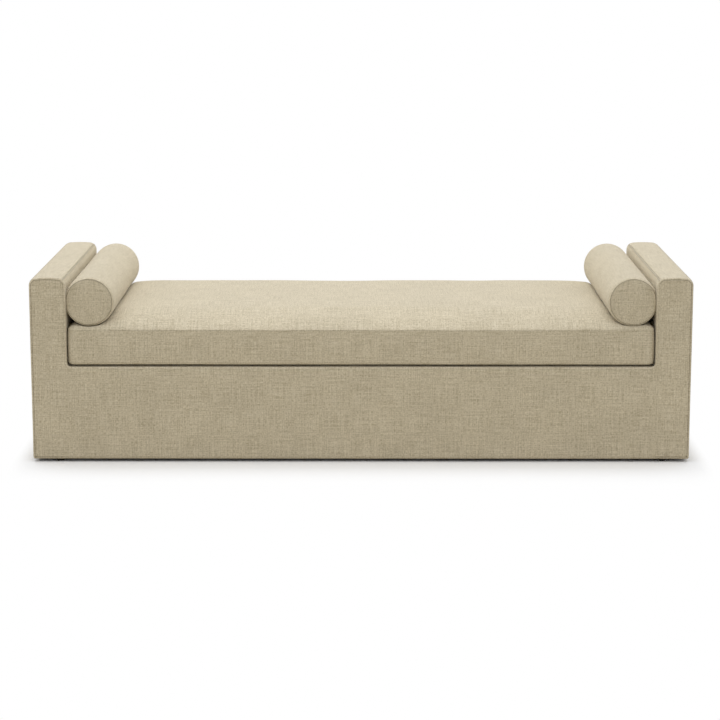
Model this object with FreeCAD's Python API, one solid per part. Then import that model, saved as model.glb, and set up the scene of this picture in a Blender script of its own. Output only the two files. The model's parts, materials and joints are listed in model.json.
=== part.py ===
"""Backless divan: a low upholstered daybed with box arms, one loose seat cushion and two round bolsters.

Frame: millimetres, origin on the floor under the middle, +X along the length, -Y the front, +Z up.
Each piece is written to parts/NAME.step.
"""

import math
import os

import FreeCAD
import Part
from FreeCAD import Matrix, Vector

# Overall sizes
LENGTH = 2134.0
DEPTH = 864.0
ARM_HEIGHT = 606.0
ARM_WIDTH = 116.0
BASE_HEIGHT = 314.0
UNDERSIDE = 10.0

# Roundings of the upholstered outline
ARM_CORNER_R = 25.0
ARM_CROWN_R = 400.0
RECESS_CORNER_R = 16.0
EDGE_BEVEL = 6.0

# Layers from the outside in
COVER = 1.5
PAD = 10.0
LINER = 3.0
TOP_SEAM_IN = 10.0
TURN_UNDER = 30.0
LIP = 60.0

# Timber frame
RAIL_THICK = 22.0
POST_DEPTH = 42.0
ARM_TOP_RAIL = 28.0
DECK_RAIL_HEIGHT = 58.0
SPREADER_WIDTH = 45.0
SPREADER_HEIGHT = 70.0
SPREADER_BOTTOM = 100.0
SPREADER_PITCH = 480.0
BLOCK_LEG = 70.0
BLOCK_HEIGHT = 90.0
BLOCK_DROP = 24.0
CENTRE_LEG = 60.0

# Spring deck
CUSHION_GAP = 0.5
DECK_PROUD = 5.5
DECK_FOAM = 15.5
FELT = 3.0
SPRING_WIRE = 4.0
SPRING_COUNT = 11
SPRING_PITCH = 160.0
SPRING_HALF_WIDTH = 34.0
SPRING_LOOPS = 12
CLIP_THICK = 1.0
CLIP_LENGTH = 16.0
TIE_WIRE = 2.0
TIE_WIRE_COUNT = 4
TIE_WIRE_PITCH = 160.0
TIE_WIRE_BEARING = 15.0
DECK_SIDE_GAP = 1.5

# Glides
GLIDE_R = 14.5
GLIDE_FOOT_R = 11.0
GLIDE_EDGE_IN = 85.0
GLIDE_FRONT_IN = 25.0
SHANK_WIDTH = 4.0
SHANK_LENGTH = 20.0
SHANK_GAP = 0.1
DUST_COVER = 1.0
DUST_COVER_IN = 12.0

# Seat cushion
SEAT_SIDE_GAP = 2.5
SEAT_FRONT_IN = 2.0
SEAT_BACK_IN = 8.0
BOTTOM_SEAM_UP = 8.0
BOXING_HEIGHT = 105.0
BOXING_DRAW = 3.0
SEAT_ROLL_RISE = 14.0
SEAT_ROLL_IN = 15.0
SEAT_END_RISE = 4.0
SEAT_CROWN = 45.0
SEAT_CROWN_RUN = 60.0
SEAT_END_CROWN = 1.5
SEAT_PLAN_R = 22.0
SEAT_FOOT_R = 14.0
SEAT_WRAP = 25.0

# Bolsters
BOLSTER_R = 81.0
BOLSTER_END_R = 74.0
BOLSTER_END_IN = 20.0
BOLSTER_CORE_R = 70.0
BOLSTER_LENGTH = 832.0
BOLSTER_ARM_GAP = 0.5
BOLSTER_PRESS = 7.5
BOLSTER_UP = 10.0
SOFT_GAP = 0.4

# Zips
SEAT_ZIP_LENGTH = 1500.0
SEAT_ZIP_TAPE = 38.0
BOLSTER_ZIP_LENGTH = 640.0
BOLSTER_ZIP_TAPE = 24.0
BOLSTER_ZIP_ANGLE = 45.0
ZIP_TAPE_THICK = 1.0
CHAIN_WIDTH = 5.0
CHAIN_HEIGHT = 1.6
SLIDER_LENGTH = 10.0
SLIDER_WALL = 1.5
SLIDER_GAP = 0.4
BRIDGE_LENGTH = 8.0
BRIDGE_WIDTH = 3.0
BRIDGE_HEIGHT = 2.0
BRIDGE_WALL = 0.8

# Places that follow from the sizes
HALF_LENGTH = LENGTH / 2
HALF_DEPTH = DEPTH / 2
ARM_INNER = HALF_LENGTH - ARM_WIDTH
ARM_MIDDLE = HALF_LENGTH - ARM_WIDTH / 2
PAD_IN = COVER + PAD
FRAME_IN = PAD_IN + LINER
FRAME_BOTTOM = UNDERSIDE + COVER
FRAME_FRONT = HALF_DEPTH - PAD_IN
FRAME_ARM_INNER = ARM_INNER + FRAME_IN
FRAME_ARM_OUTER = HALF_LENGTH - FRAME_IN
FRAME_ARM_TOP = ARM_HEIGHT - PAD_IN - ARM_TOP_RAIL
POST_BACK = FRAME_FRONT - POST_DEPTH
RAIL_BACK = FRAME_FRONT - RAIL_THICK
SEAM_Y = HALF_DEPTH - EDGE_BEVEL
LIP_END = HALF_DEPTH - LIP
DECK_TOP = BASE_HEIGHT + DECK_PROUD
DECK_FOAM_TOP = DECK_TOP - COVER
FELT_TOP = DECK_FOAM_TOP - DECK_FOAM
FELT_BOTTOM = FELT_TOP - FELT
RAIL_TOP = FELT_BOTTOM - 2 * CLIP_THICK - SPRING_WIRE
SPRING_BOTTOM = RAIL_TOP + CLIP_THICK
DECK_RAIL_TOP = SPRING_BOTTOM - TIE_WIRE
SEAT_HALF_LENGTH = ARM_INNER - SEAT_SIDE_GAP
SEAT_FRONT = -HALF_DEPTH + SEAT_FRONT_IN
SEAT_BACK = HALF_DEPTH - SEAT_BACK_IN
SEAT_BOTTOM = DECK_TOP + CUSHION_GAP
BOTTOM_SEAM = SEAT_BOTTOM + BOTTOM_SEAM_UP
TOP_SEAM = BOTTOM_SEAM + BOXING_HEIGHT
ZIP_Z = (BOTTOM_SEAM + TOP_SEAM) / 2
BOLSTER_FLAT = ARM_INNER - BOLSTER_ARM_GAP
BOLSTER_X = BOLSTER_FLAT + BOLSTER_PRESS - BOLSTER_R
BOLSTER_AXIS_Z = TOP_SEAM + BOLSTER_UP + BOLSTER_R
GLIDE_TOP = UNDERSIDE - DUST_COVER
GLIDE_X = HALF_LENGTH - GLIDE_EDGE_IN
GLIDE_Y = HALF_DEPTH - GLIDE_FRONT_IN
GLIDE_SPOTS = (
    (-GLIDE_X, -GLIDE_Y), (GLIDE_X, -GLIDE_Y), (-GLIDE_X, GLIDE_Y), (GLIDE_X, GLIDE_Y), (0.0, 0.0),
)
BEYOND = 50.0


def box(x_span, y_span, z_span):
    """Block between the two ends of each span."""
    sides = [span[1] - span[0] for span in (x_span, y_span, z_span)]
    return Part.makeBox(*sides, Vector(x_span[0], y_span[0], z_span[0]))


def mirror_x(shape):
    """Same piece on the other side of the middle of the length."""
    return shape.mirror(Vector(0, 0, 0), Vector(1, 0, 0))


def mirror_y(shape):
    """Same piece on the other side of the middle of the depth."""
    return shape.mirror(Vector(0, 0, 0), Vector(0, 1, 0))


def line(start, end):
    """Straight edge."""
    return Part.makeLine(start, end)


def arc(start, middle, end):
    """Round edge through three points."""
    return Part.Arc(start, middle, end).toShape()


def extrude_y(face, y_span):
    """Face drawn in the plane y = 0, run between the two ends of the span."""
    moved = face.translated(Vector(0, y_span[0], 0))
    return moved.extrude(Vector(0, y_span[1] - y_span[0], 0))


def arm_crown_edges(inset):
    """Rounded top of the right arm from its inner face to its outer face, moved in by inset."""
    crown_z = ARM_HEIGHT - ARM_CROWN_R
    corner_x = ARM_WIDTH / 2 - ARM_CORNER_R
    reach = ARM_CROWN_R - ARM_CORNER_R
    corner_z = crown_z + math.sqrt(reach ** 2 - corner_x ** 2)
    radius = ARM_CORNER_R - inset
    lean = math.atan2(corner_x, corner_z - crown_z)
    half_turn = (math.pi / 2 - lean) / 2

    def corner(side, from_side):
        """Point on a top corner, at an angle up from the side face."""
        return Vector(ARM_MIDDLE + side * (corner_x + radius * math.cos(from_side)), 0,
                      corner_z + radius * math.sin(from_side))

    return [
        arc(corner(-1, 0), corner(-1, half_turn), corner(-1, 2 * half_turn)),
        arc(corner(-1, 2 * half_turn), Vector(ARM_MIDDLE, 0, ARM_HEIGHT - inset), corner(1, 2 * half_turn)),
        arc(corner(1, 2 * half_turn), corner(1, half_turn), corner(1, 0)),
    ]


def arm_face(inset, foot):
    """Section of the right arm down to a foot height."""
    crown = arm_crown_edges(inset)
    inner_top = crown[0].Vertexes[0].Point
    outer_top = crown[-1].Vertexes[-1].Point
    inner_foot = Vector(inner_top.x, 0, foot)
    outer_foot = Vector(outer_top.x, 0, foot)
    edges = [line(inner_foot, inner_top), *crown, line(outer_top, outer_foot), line(outer_foot, inner_foot)]
    return Part.Face(Part.Wire(edges))


def upholstered_form(inset):
    """Whole outline of base and arms, moved in by inset, with its front and back edges eased."""
    foot = UNDERSIDE + min(inset, COVER)
    crown = arm_crown_edges(inset)
    inner_top = crown[0].Vertexes[0].Point
    outer_top = crown[-1].Vertexes[-1].Point
    recess_x = ARM_INNER - RECESS_CORNER_R
    recess_z = BASE_HEIGHT + RECESS_CORNER_R
    radius = RECESS_CORNER_R + inset
    slant = radius * math.sqrt(0.5)
    up = Vector(recess_x + radius, 0, recess_z)
    bend = Vector(recess_x + slant, 0, recess_z - slant)
    level = Vector(recess_x, 0, recess_z - radius)
    outer_foot = Vector(outer_top.x, 0, foot)
    right = [arc(level, bend, up), line(up, inner_top), *crown, line(outer_top, outer_foot)]
    left = [mirror_x(edge) for edge in right]
    across = [line(Vector(-level.x, 0, level.z), level), line(Vector(-outer_foot.x, 0, foot), outer_foot)]
    face = Part.Face(Part.Wire(Part.__sortEdges__(right + left + across)))
    reach = HALF_DEPTH - inset
    solid = extrude_y(face, (-reach, reach))
    rim = [edge for edge in solid.Edges
           if edge.BoundBox.YLength < COVER and edge.BoundBox.ZMax > foot + COVER]
    return solid.makeChamfer(EDGE_BEVEL - inset * (2 - math.sqrt(2)), rim)


def shanks(gap, z_span):
    """Square shanks of the glides, or with a gap the holes for them."""
    half = SHANK_WIDTH / 2 + gap
    return [box((x - half, x + half), (y - half, y + half), z_span) for x, y in GLIDE_SPOTS]


def make_covers(outer_form, pad_form):
    """Woven cover panels of the base and arms, split where they are sewn."""
    shell = outer_form.cut(pad_form)
    wide = (-HALF_LENGTH - BEYOND, HALF_LENGTH + BEYOND)
    tall = (0, ARM_HEIGHT + BEYOND)
    panel = shell.common(box(wide, (-HALF_DEPTH - BEYOND, -SEAM_Y), tall))
    lip_half = ARM_INNER - DECK_SIDE_GAP
    lip = box((-lip_half, lip_half), (-SEAM_Y, -LIP_END), (BASE_HEIGHT - COVER, BASE_HEIGHT))
    lip = lip.cut(pad_form)
    fold_half = HALF_LENGTH - TURN_UNDER
    fold = box((-fold_half, fold_half), (-SEAM_Y, -HALF_DEPTH + TURN_UNDER), (UNDERSIDE, FRAME_BOTTOM))
    front = panel.fuse([lip, fold]).removeSplitter()
    front = front.cut(shanks(SHANK_GAP, (0, FRAME_BOTTOM)))

    ring = arm_face(0, UNDERSIDE).cut(arm_face(COVER, FRAME_BOTTOM))
    skin = extrude_y(ring, (-SEAM_Y, SEAM_Y))
    deep = (-SEAM_Y, SEAM_Y)
    inner_seam = ARM_INNER + TOP_SEAM_IN
    outer_seam = HALF_LENGTH - TOP_SEAM_IN
    corner = box((0, ARM_INNER + COVER), (-HALF_DEPTH, -FRAME_FRONT), (0, BASE_HEIGHT + RECESS_CORNER_R))
    inner = skin.common(box((ARM_INNER, inner_seam), deep, (FELT_TOP, ARM_HEIGHT)))
    arm = {
        "inner_cover": inner.cut([corner, mirror_y(corner)]),
        "top_cover": skin.common(box((inner_seam, outer_seam), deep, (FRAME_ARM_TOP, ARM_HEIGHT))),
    }
    outer = skin.common(box((outer_seam, HALF_LENGTH), deep, (UNDERSIDE, ARM_HEIGHT)))
    under = box((fold_half, outer_seam), deep, (UNDERSIDE, FRAME_BOTTOM))
    arm["outer_cover"] = outer.fuse(under).removeSplitter()
    return {"front_cover": front, "back_cover": mirror_y(front)}, arm


def make_pads(pad_form):
    """Foam under the covers: pads on the faces and one sheet wrapped over each arm."""
    split = ARM_INNER + COVER
    face_depth = (-HALF_DEPTH, -FRAME_FRONT)
    tall = (0, ARM_HEIGHT)
    lip_half = ARM_INNER - DECK_SIDE_GAP
    lip = box((-lip_half, lip_half), (-FRAME_FRONT, -LIP_END), (FELT_TOP, BASE_HEIGHT - COVER))
    base = pad_form.common(box((-split, split), face_depth, tall)).fuse(lip).removeSplitter()
    arm_front = pad_form.common(box((split, HALF_LENGTH), face_depth, tall))
    ring = arm_face(COVER, FRAME_BOTTOM).cut(arm_face(PAD_IN, 0))
    wrap = extrude_y(ring, (-FRAME_FRONT, FRAME_FRONT))
    wrap = wrap.cut(box((0, ARM_MIDDLE), (-HALF_DEPTH, HALF_DEPTH), (0, FELT_TOP)))
    arm = {"wrap_pad": wrap, "front_pad": arm_front, "back_pad": mirror_y(arm_front)}
    return {"base_front_pad": base, "base_back_pad": mirror_y(base)}, arm


def make_arm_frame():
    """Timber and board inside the right arm."""
    wide = (FRAME_ARM_INNER, FRAME_ARM_OUTER)
    tall = (FRAME_BOTTOM, FRAME_ARM_TOP)
    between = (-POST_BACK, POST_BACK)
    whole = (-FRAME_FRONT, FRAME_FRONT)
    bottom_top = FRAME_BOTTOM + RAIL_THICK
    half_post = POST_DEPTH / 2
    front_post = box(wide, (-FRAME_FRONT, -POST_BACK), tall).cut(
        shanks(SHANK_GAP, (0, GLIDE_TOP + SHANK_LENGTH)))
    middle_post = box(wide, (-half_post, half_post), (bottom_top, FRAME_ARM_TOP))
    top_rail = extrude_y(arm_face(PAD_IN, FRAME_ARM_TOP), whole)
    inner_board = box((ARM_INNER + PAD_IN, FRAME_ARM_INNER), whole, (FELT_TOP, FRAME_ARM_TOP))
    outer_board = box((FRAME_ARM_OUTER, HALF_LENGTH - PAD_IN), whole, tall)
    deck_span = (FRAME_ARM_INNER, FRAME_ARM_INNER + RAIL_THICK)
    deck_rail = box(deck_span, between, (DECK_RAIL_TOP - DECK_RAIL_HEIGHT, DECK_RAIL_TOP))
    deck_rail = deck_rail.cut(middle_post)
    return {
        "posts": Part.makeCompound([front_post, middle_post, mirror_y(front_post)]),
        "top_rail": top_rail,
        "bottom_rail": box(wide, between, (FRAME_BOTTOM, bottom_top)),
        "deck_rail": deck_rail,
        "liners": Part.makeCompound([inner_board, outer_board]),
    }


def make_base_frame():
    """Rails, spreaders, glued blocks and the centre leg between the arms."""
    across = (-FRAME_ARM_INNER, FRAME_ARM_INNER)
    rail = box(across, (-FRAME_FRONT, -RAIL_BACK), (FRAME_BOTTOM, RAIL_TOP))
    half = SPREADER_WIDTH / 2
    levels = (SPREADER_BOTTOM, SPREADER_BOTTOM + SPREADER_HEIGHT)
    spreaders = [box((x - half, x + half), (-RAIL_BACK, RAIL_BACK), levels)
                 for x in (-SPREADER_PITCH, 0.0, SPREADER_PITCH)]
    top = RAIL_TOP - BLOCK_DROP
    corner = Vector(FRAME_ARM_INNER, -RAIL_BACK, top - BLOCK_HEIGHT)
    triangle = Part.makePolygon([corner, corner - Vector(BLOCK_LEG, 0, 0), corner + Vector(0, BLOCK_LEG, 0), corner])
    block = Part.Face(triangle).extrude(Vector(0, 0, BLOCK_HEIGHT))
    pair = [block, mirror_x(block)]
    half_leg = CENTRE_LEG / 2
    leg = box((-half_leg, half_leg), (-half_leg, half_leg), (UNDERSIDE, SPREADER_BOTTOM)).cut(
        shanks(SHANK_GAP, (0, GLIDE_TOP + SHANK_LENGTH)))
    return {
        "frame_front_rail": rail,
        "frame_back_rail": mirror_y(rail),
        "frame_spreaders": Part.makeCompound(spreaders),
        "frame_corner_blocks": Part.makeCompound(pair + [mirror_y(shape) for shape in pair]),
        "frame_centre_leg": leg,
    }


def wire_outline(path, width):
    """Flat outline of a bent wire along a level path, mitred at its bends."""
    sides = ([], [])
    for index, point in enumerate(path):
        before = (point - path[index - 1]).normalize() if index else None
        after = (path[index + 1] - point).normalize() if index + 1 < len(path) else None
        before, after = before or after, after or before
        normals = [Vector(-way.y, way.x, 0) for way in (before, after)]
        mitre = normals[0] + normals[1]
        mitre.multiply(width / mitre.dot(mitre))
        sides[0].append(point + mitre)
        sides[1].append(point - mitre)
    loop = sides[0] + sides[1][::-1]
    return Part.makePolygon(loop + loop[:1])


def make_spring(centre_x):
    """One sinuous spring from the front rail to the back rail."""
    end = (FRAME_FRONT + RAIL_BACK) / 2
    pitch = 2 * end / SPRING_LOOPS
    shoulder = SPRING_HALF_WIDTH - pitch / 2
    path = [Vector(centre_x - shoulder, -end, SPRING_BOTTOM)]
    for loop in range(SPRING_LOOPS):
        side = 1 if loop % 2 == 0 else -1
        start = -end + loop * pitch
        path.append(Vector(centre_x + side * shoulder, start, SPRING_BOTTOM))
        path.append(Vector(centre_x + side * SPRING_HALF_WIDTH, start + pitch / 2, SPRING_BOTTOM))
        path.append(Vector(centre_x + side * shoulder, start + pitch, SPRING_BOTTOM))
    side = 1 if SPRING_LOOPS % 2 == 0 else -1
    path.append(Vector(centre_x + side * shoulder, end, SPRING_BOTTOM))
    return Part.Face(wire_outline(path, SPRING_WIRE)).extrude(Vector(0, 0, SPRING_WIRE))


def make_clip(centre_x):
    """Folded steel clip that holds a spring end on the front rail, open towards the middle."""
    wire_front = -(FRAME_FRONT + RAIL_BACK) / 2 - SPRING_WIRE / 2
    back = wire_front + SPRING_WIRE
    low, high = RAIL_TOP, SPRING_BOTTOM + SPRING_WIRE + CLIP_THICK
    outline = [
        (back, low), (wire_front - CLIP_THICK, low), (wire_front - CLIP_THICK, high), (back, high),
        (back, high - CLIP_THICK), (wire_front, high - CLIP_THICK),
        (wire_front, low + CLIP_THICK), (back, low + CLIP_THICK), (back, low),
    ]
    face = Part.Face(Part.makePolygon([Vector(centre_x - CLIP_LENGTH / 2, y, z) for y, z in outline]))
    return face.extrude(Vector(CLIP_LENGTH, 0, 0))


def make_deck():
    """Springs, tie wires, felt, foam and cloth that carry the seat cushion."""
    places = [(index - (SPRING_COUNT - 1) / 2) * SPRING_PITCH for index in range(SPRING_COUNT)]
    clips = [make_clip(x) for x in places]
    tie_half = FRAME_ARM_INNER + TIE_WIRE_BEARING
    ties = [(index - (TIE_WIRE_COUNT - 1) / 2) * TIE_WIRE_PITCH for index in range(TIE_WIRE_COUNT)]
    cloth_half = ARM_INNER - DECK_SIDE_GAP
    cloth = (-cloth_half, cloth_half)
    inside = (-LIP_END, LIP_END)
    return {
        "deck_springs": Part.makeCompound([make_spring(x) for x in places]),
        "deck_spring_clips": Part.makeCompound(clips + [mirror_y(clip) for clip in clips]),
        "deck_tie_wires": Part.makeCompound([
            box((-tie_half, tie_half), (y - TIE_WIRE / 2, y + TIE_WIRE / 2), (DECK_RAIL_TOP, SPRING_BOTTOM))
            for y in ties]),
        "deck_felt": box((-FRAME_ARM_INNER, FRAME_ARM_INNER), (-FRAME_FRONT, FRAME_FRONT), (FELT_BOTTOM, FELT_TOP)),
        "deck_foam": box(cloth, inside, (FELT_TOP, DECK_FOAM_TOP)),
        "deck_cloth": box(cloth, inside, (DECK_FOAM_TOP, DECK_TOP)),
    }


def make_glides():
    """Turned black nail-on glides, and the thin cloth stapled over the underside."""
    profile = [(0, 0), (GLIDE_FOOT_R, 0), (GLIDE_R, GLIDE_TOP), (0, GLIDE_TOP), (0, 0)]
    face = Part.Face(Part.makePolygon([Vector(r, 0, z) for r, z in profile]))
    disc = face.revolve(Vector(0, 0, 0), Vector(0, 0, 1), 360)
    pins = shanks(0, (0, GLIDE_TOP + SHANK_LENGTH))
    half = HALF_LENGTH - DUST_COVER_IN
    deep = HALF_DEPTH - DUST_COVER_IN
    cloth = box((-half, half), (-deep, deep), (GLIDE_TOP, UNDERSIDE)).cut(
        shanks(SHANK_GAP, (0, UNDERSIDE + BEYOND)))
    return {
        "glides": Part.makeCompound([
            disc.translated(Vector(x, y, 0)).fuse(pin).removeSplitter() for (x, y), pin in zip(GLIDE_SPOTS, pins)]),
        "dust_cover": cloth,
    }


def crown_share(distance):
    """Share of the seat's full crown reached at a distance in from the rolled edge."""
    return 1 - math.exp(-max(distance, 0.0) / SEAT_CROWN_RUN)


def quarter(distance, radius):
    """How far a quarter circle of this radius still stands in from its flat side."""
    left = min(max(radius - distance, 0.0), radius)
    return radius - math.sqrt(radius ** 2 - left ** 2)


def seat_section(x, inset):
    """Closed section of the seat cushion across its depth, at one place along its length."""
    end_distance = SEAT_HALF_LENGTH - abs(x) - inset
    draw = quarter(end_distance, SEAT_PLAN_R)
    front, back = SEAT_FRONT + inset + draw, SEAT_BACK - inset - draw
    foot_lift = quarter(end_distance, SEAT_FOOT_R)
    low_seam = BOTTOM_SEAM + foot_lift
    low = SEAT_BOTTOM + inset + foot_lift
    roll = SEAT_ROLL_RISE - (SEAT_ROLL_RISE - SEAT_END_RISE) * quarter(end_distance, SEAT_ROLL_IN) / SEAT_ROLL_IN
    crown = max(SEAT_CROWN * crown_share(end_distance - SEAT_ROLL_IN), SEAT_END_CROWN)
    run = SEAT_CROWN_RUN
    steps = [SEAT_ROLL_IN, SEAT_ROLL_IN + run / 3, SEAT_ROLL_IN + run * 3 / 4,
             SEAT_ROLL_IN + run * 3 / 2, SEAT_ROLL_IN + run * 3]

    def top(distance):
        """Height of the top at a distance in from the seam."""
        return TOP_SEAM + roll - inset + crown * crown_share(distance - SEAT_ROLL_IN)

    def side(seam_y, inwards):
        """Points from the top seam to the level part of the crown."""
        bulge = SEAT_ROLL_IN * (1 - math.sqrt(0.5))
        rolled = Vector(x, seam_y + inwards * bulge, TOP_SEAM + (roll - inset) * math.sqrt(0.5))
        return [Vector(x, seam_y, TOP_SEAM), rolled] + [
            Vector(x, seam_y + inwards * step, top(step)) for step in steps]

    near, far = side(front, 1), side(back, -1)
    middle = Vector(x, (front + back) / 2, TOP_SEAM + roll - inset + crown)
    front_foot = [Vector(x, front, low_seam), Vector(x, front + BOTTOM_SEAM_UP, low)]
    back_foot = [Vector(x, back - BOTTOM_SEAM_UP, low), Vector(x, back, low_seam)]
    drawn = Vector(x, front + BOXING_DRAW, (low_seam + TOP_SEAM) / 2)
    return Part.Wire([
        arc(front_foot[0], drawn, near[0]),
        arc(*near[0:3]), arc(*near[2:5]), arc(*near[4:7]),
        arc(near[6], middle, far[6]),
        arc(*far[6:3:-1]), arc(*far[4:1:-1]), arc(*far[2::-1]),
        line(far[0], back_foot[1]),
        line(back_foot[1], back_foot[0]),
        line(back_foot[0], front_foot[1]),
        line(front_foot[1], front_foot[0]),
    ])


def bolster_form(room, half):
    """Stuffed right bolster of this half length with room round it: drawn in at its ends, flat against the arm."""
    end_r, middle_r = BOLSTER_END_R + room, BOLSTER_R + room
    profile = [(0, -half), (end_r, -half), (middle_r, BOLSTER_END_IN - half), (middle_r, half - BOLSTER_END_IN),
               (end_r, half), (0, half), (0, -half)]
    face = Part.Face(Part.makePolygon([Vector(r, y, 0) for r, y in profile]))
    round_form = face.revolve(Vector(0, 0, 0), Vector(0, 1, 0), 360)
    round_form = round_form.translated(Vector(BOLSTER_X, 0, BOLSTER_AXIS_Z))
    flat = BOLSTER_FLAT + room
    return round_form.cut(box((flat, flat + BEYOND), (-DEPTH, DEPTH), (0, BOLSTER_AXIS_Z + DEPTH)))


def seat_form(inset):
    """Crowned seat cushion, moved in by inset, with the hollows that the bolsters press into it."""
    reach = SEAT_HALF_LENGTH - inset
    distances = [0.0, 4.0, 12.0, 30.0, 65.0, 120.0, 230.0]
    right = [reach - distance for distance in distances]
    stations = [-x for x in right] + [0.0] + right[::-1]
    solid = Part.makeLoft([seat_section(x, inset) for x in stations], True, True)
    room = SOFT_GAP + inset
    hollow = bolster_form(room, BOLSTER_LENGTH / 2 + room)
    return solid.cut([hollow, mirror_x(hollow)])


def make_seat():
    """Cover panels, wrap, foam and zip of the seat cushion."""
    outside, inside = seat_form(0.0), seat_form(COVER)
    skin = outside.cut(inside)
    wide = (-HALF_LENGTH, HALF_LENGTH)
    deep = (-HALF_DEPTH, HALF_DEPTH)
    core_half = SEAT_HALF_LENGTH - SEAT_WRAP
    core_levels = (SEAT_BOTTOM + BOTTOM_SEAM_UP, TOP_SEAM + SEAT_ROLL_RISE / 2)
    core = box((-core_half, core_half), (SEAT_FRONT + SEAT_WRAP, SEAT_BACK - SEAT_WRAP), core_levels)
    tape_half = SEAT_ZIP_TAPE / 2
    tape = box((-SEAT_ZIP_LENGTH / 2, SEAT_ZIP_LENGTH / 2), (SEAT_BACK - ZIP_TAPE_THICK, SEAT_BACK),
               (ZIP_Z - tape_half, ZIP_Z + tape_half))
    chain = box((-SEAT_ZIP_LENGTH / 2, SEAT_ZIP_LENGTH / 2), (SEAT_BACK, SEAT_BACK + CHAIN_HEIGHT),
                (ZIP_Z - CHAIN_WIDTH / 2, ZIP_Z + CHAIN_WIDTH / 2))
    return {
        "seat_top_panel": skin.common(box(wide, deep, (TOP_SEAM, ARM_HEIGHT))),
        "seat_boxing": skin.common(box(wide, deep, (BOTTOM_SEAM, TOP_SEAM))).cut(tape),
        "seat_bottom_panel": skin.common(box(wide, deep, (0, BOTTOM_SEAM))),
        "seat_wrap": inside.cut(core),
        "seat_core": core,
        "seat_zip": Part.makeCompound([tape, chain]),
    }


def make_slider():
    """Pull-less zip slider, standing on the plane z = 0 and running along Y over the chain."""
    half_gap = CHAIN_WIDTH / 2 + SLIDER_GAP
    half_out = half_gap + SLIDER_WALL
    roof = CHAIN_HEIGHT + SLIDER_GAP
    top = roof + SLIDER_WALL
    run = (-SLIDER_LENGTH / 2, SLIDER_LENGTH / 2)
    body = box((-half_out, half_out), run, (SLIDER_GAP, top)).cut(box((-half_gap, half_gap), run, (0, roof)))
    half_bridge = BRIDGE_LENGTH / 2
    wide = (-BRIDGE_WIDTH / 2, BRIDGE_WIDTH / 2)
    bridge = box(wide, (-half_bridge, half_bridge), (top, top + BRIDGE_HEIGHT)).cut(
        box(wide, (BRIDGE_WALL - half_bridge, half_bridge - BRIDGE_WALL), (top, top + BRIDGE_HEIGHT - BRIDGE_WALL)))
    return body.fuse(bridge).removeSplitter()


def placed(shape, along, outward, origin):
    """Shape drawn along Y and outward to Z, turned and moved to its place."""
    across = along.cross(outward)
    matrix = Matrix(across.x, along.x, outward.x, origin.x, across.y, along.y, outward.y, origin.y,
                    across.z, along.z, outward.z, origin.z, 0, 0, 0, 1)
    return shape.transformGeometry(matrix)


def bolster_strip(low, high, width, length):
    """Curved strip on the right bolster's barrel, on the side of the zip."""
    half_turn = width / 2 / BOLSTER_R
    angle = -math.radians(BOLSTER_ZIP_ANGLE)

    def spot(radius, turn):
        """Point on a circle round the bolster's axis."""
        return Vector(BOLSTER_X + radius * math.cos(angle + turn), 0,
                      BOLSTER_AXIS_Z + radius * math.sin(angle + turn))

    edges = [
        arc(spot(high, -half_turn), spot(high, 0), spot(high, half_turn)),
        line(spot(high, half_turn), spot(low, half_turn)),
        arc(spot(low, half_turn), spot(low, 0), spot(low, -half_turn)),
        line(spot(low, -half_turn), spot(high, -half_turn)),
    ]
    return extrude_y(Part.Face(Part.Wire(edges)), (-length / 2, length / 2))


def make_bolster():
    """Barrel cover with its wadding, end discs, core and zip of the right bolster."""
    seam = BOLSTER_LENGTH / 2 - COVER
    axis = Vector(0, 1, 0)
    core = Part.makeCylinder(BOLSTER_CORE_R, 2 * seam, Vector(BOLSTER_X, -seam, BOLSTER_AXIS_Z), axis)
    barrel = bolster_form(0.0, seam).cut(core)
    disc_start = Vector(BOLSTER_X, -BOLSTER_LENGTH / 2, BOLSTER_AXIS_Z)
    flat = box((BOLSTER_FLAT, BOLSTER_FLAT + BEYOND), (-DEPTH, DEPTH), (0, BOLSTER_AXIS_Z + DEPTH))
    disc = Part.makeCylinder(BOLSTER_END_R, COVER, disc_start, axis).cut(flat)
    tape_top = BOLSTER_R + ZIP_TAPE_THICK
    tape = bolster_strip(BOLSTER_R, tape_top, BOLSTER_ZIP_TAPE, BOLSTER_ZIP_LENGTH)
    chain = bolster_strip(tape_top, tape_top + CHAIN_HEIGHT, CHAIN_WIDTH, BOLSTER_ZIP_LENGTH)
    angle = math.radians(BOLSTER_ZIP_ANGLE)
    outward = Vector(math.cos(angle), 0, -math.sin(angle))
    place = Vector(BOLSTER_X, (BOLSTER_ZIP_LENGTH - SLIDER_LENGTH) / 2, BOLSTER_AXIS_Z) + outward * tape_top
    return {
        "barrel": barrel,
        "end_discs": Part.makeCompound([disc, mirror_y(disc)]),
        "core": core,
        "zip": Part.makeCompound([tape, chain]),
        "zip_slider": placed(make_slider(), axis, outward, place),
    }


def make_divan():
    """All pieces by name."""
    pieces = {}
    outer_form, pad_form = upholstered_form(0.0), upholstered_form(COVER)
    shared_covers, arm_covers = make_covers(outer_form, pad_form)
    shared_pads, arm_pads = make_pads(pad_form)
    for group in (make_base_frame(), make_deck(), shared_pads, shared_covers, make_glides(), make_seat()):
        pieces.update(group)
    for name, shape in {**make_arm_frame(), **arm_pads, **arm_covers}.items():
        pieces["arm_right_" + name] = shape
        pieces["arm_left_" + name] = mirror_x(shape)
    for name, shape in make_bolster().items():
        pieces["bolster_right_" + name] = shape
        pieces["bolster_left_" + name] = mirror_x(shape)
    place = Vector((SEAT_ZIP_LENGTH - SLIDER_LENGTH) / 2, SEAT_BACK, ZIP_Z)
    pieces["seat_zip_slider"] = placed(make_slider(), Vector(1, 0, 0), Vector(0, 1, 0), place)
    return pieces


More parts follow.
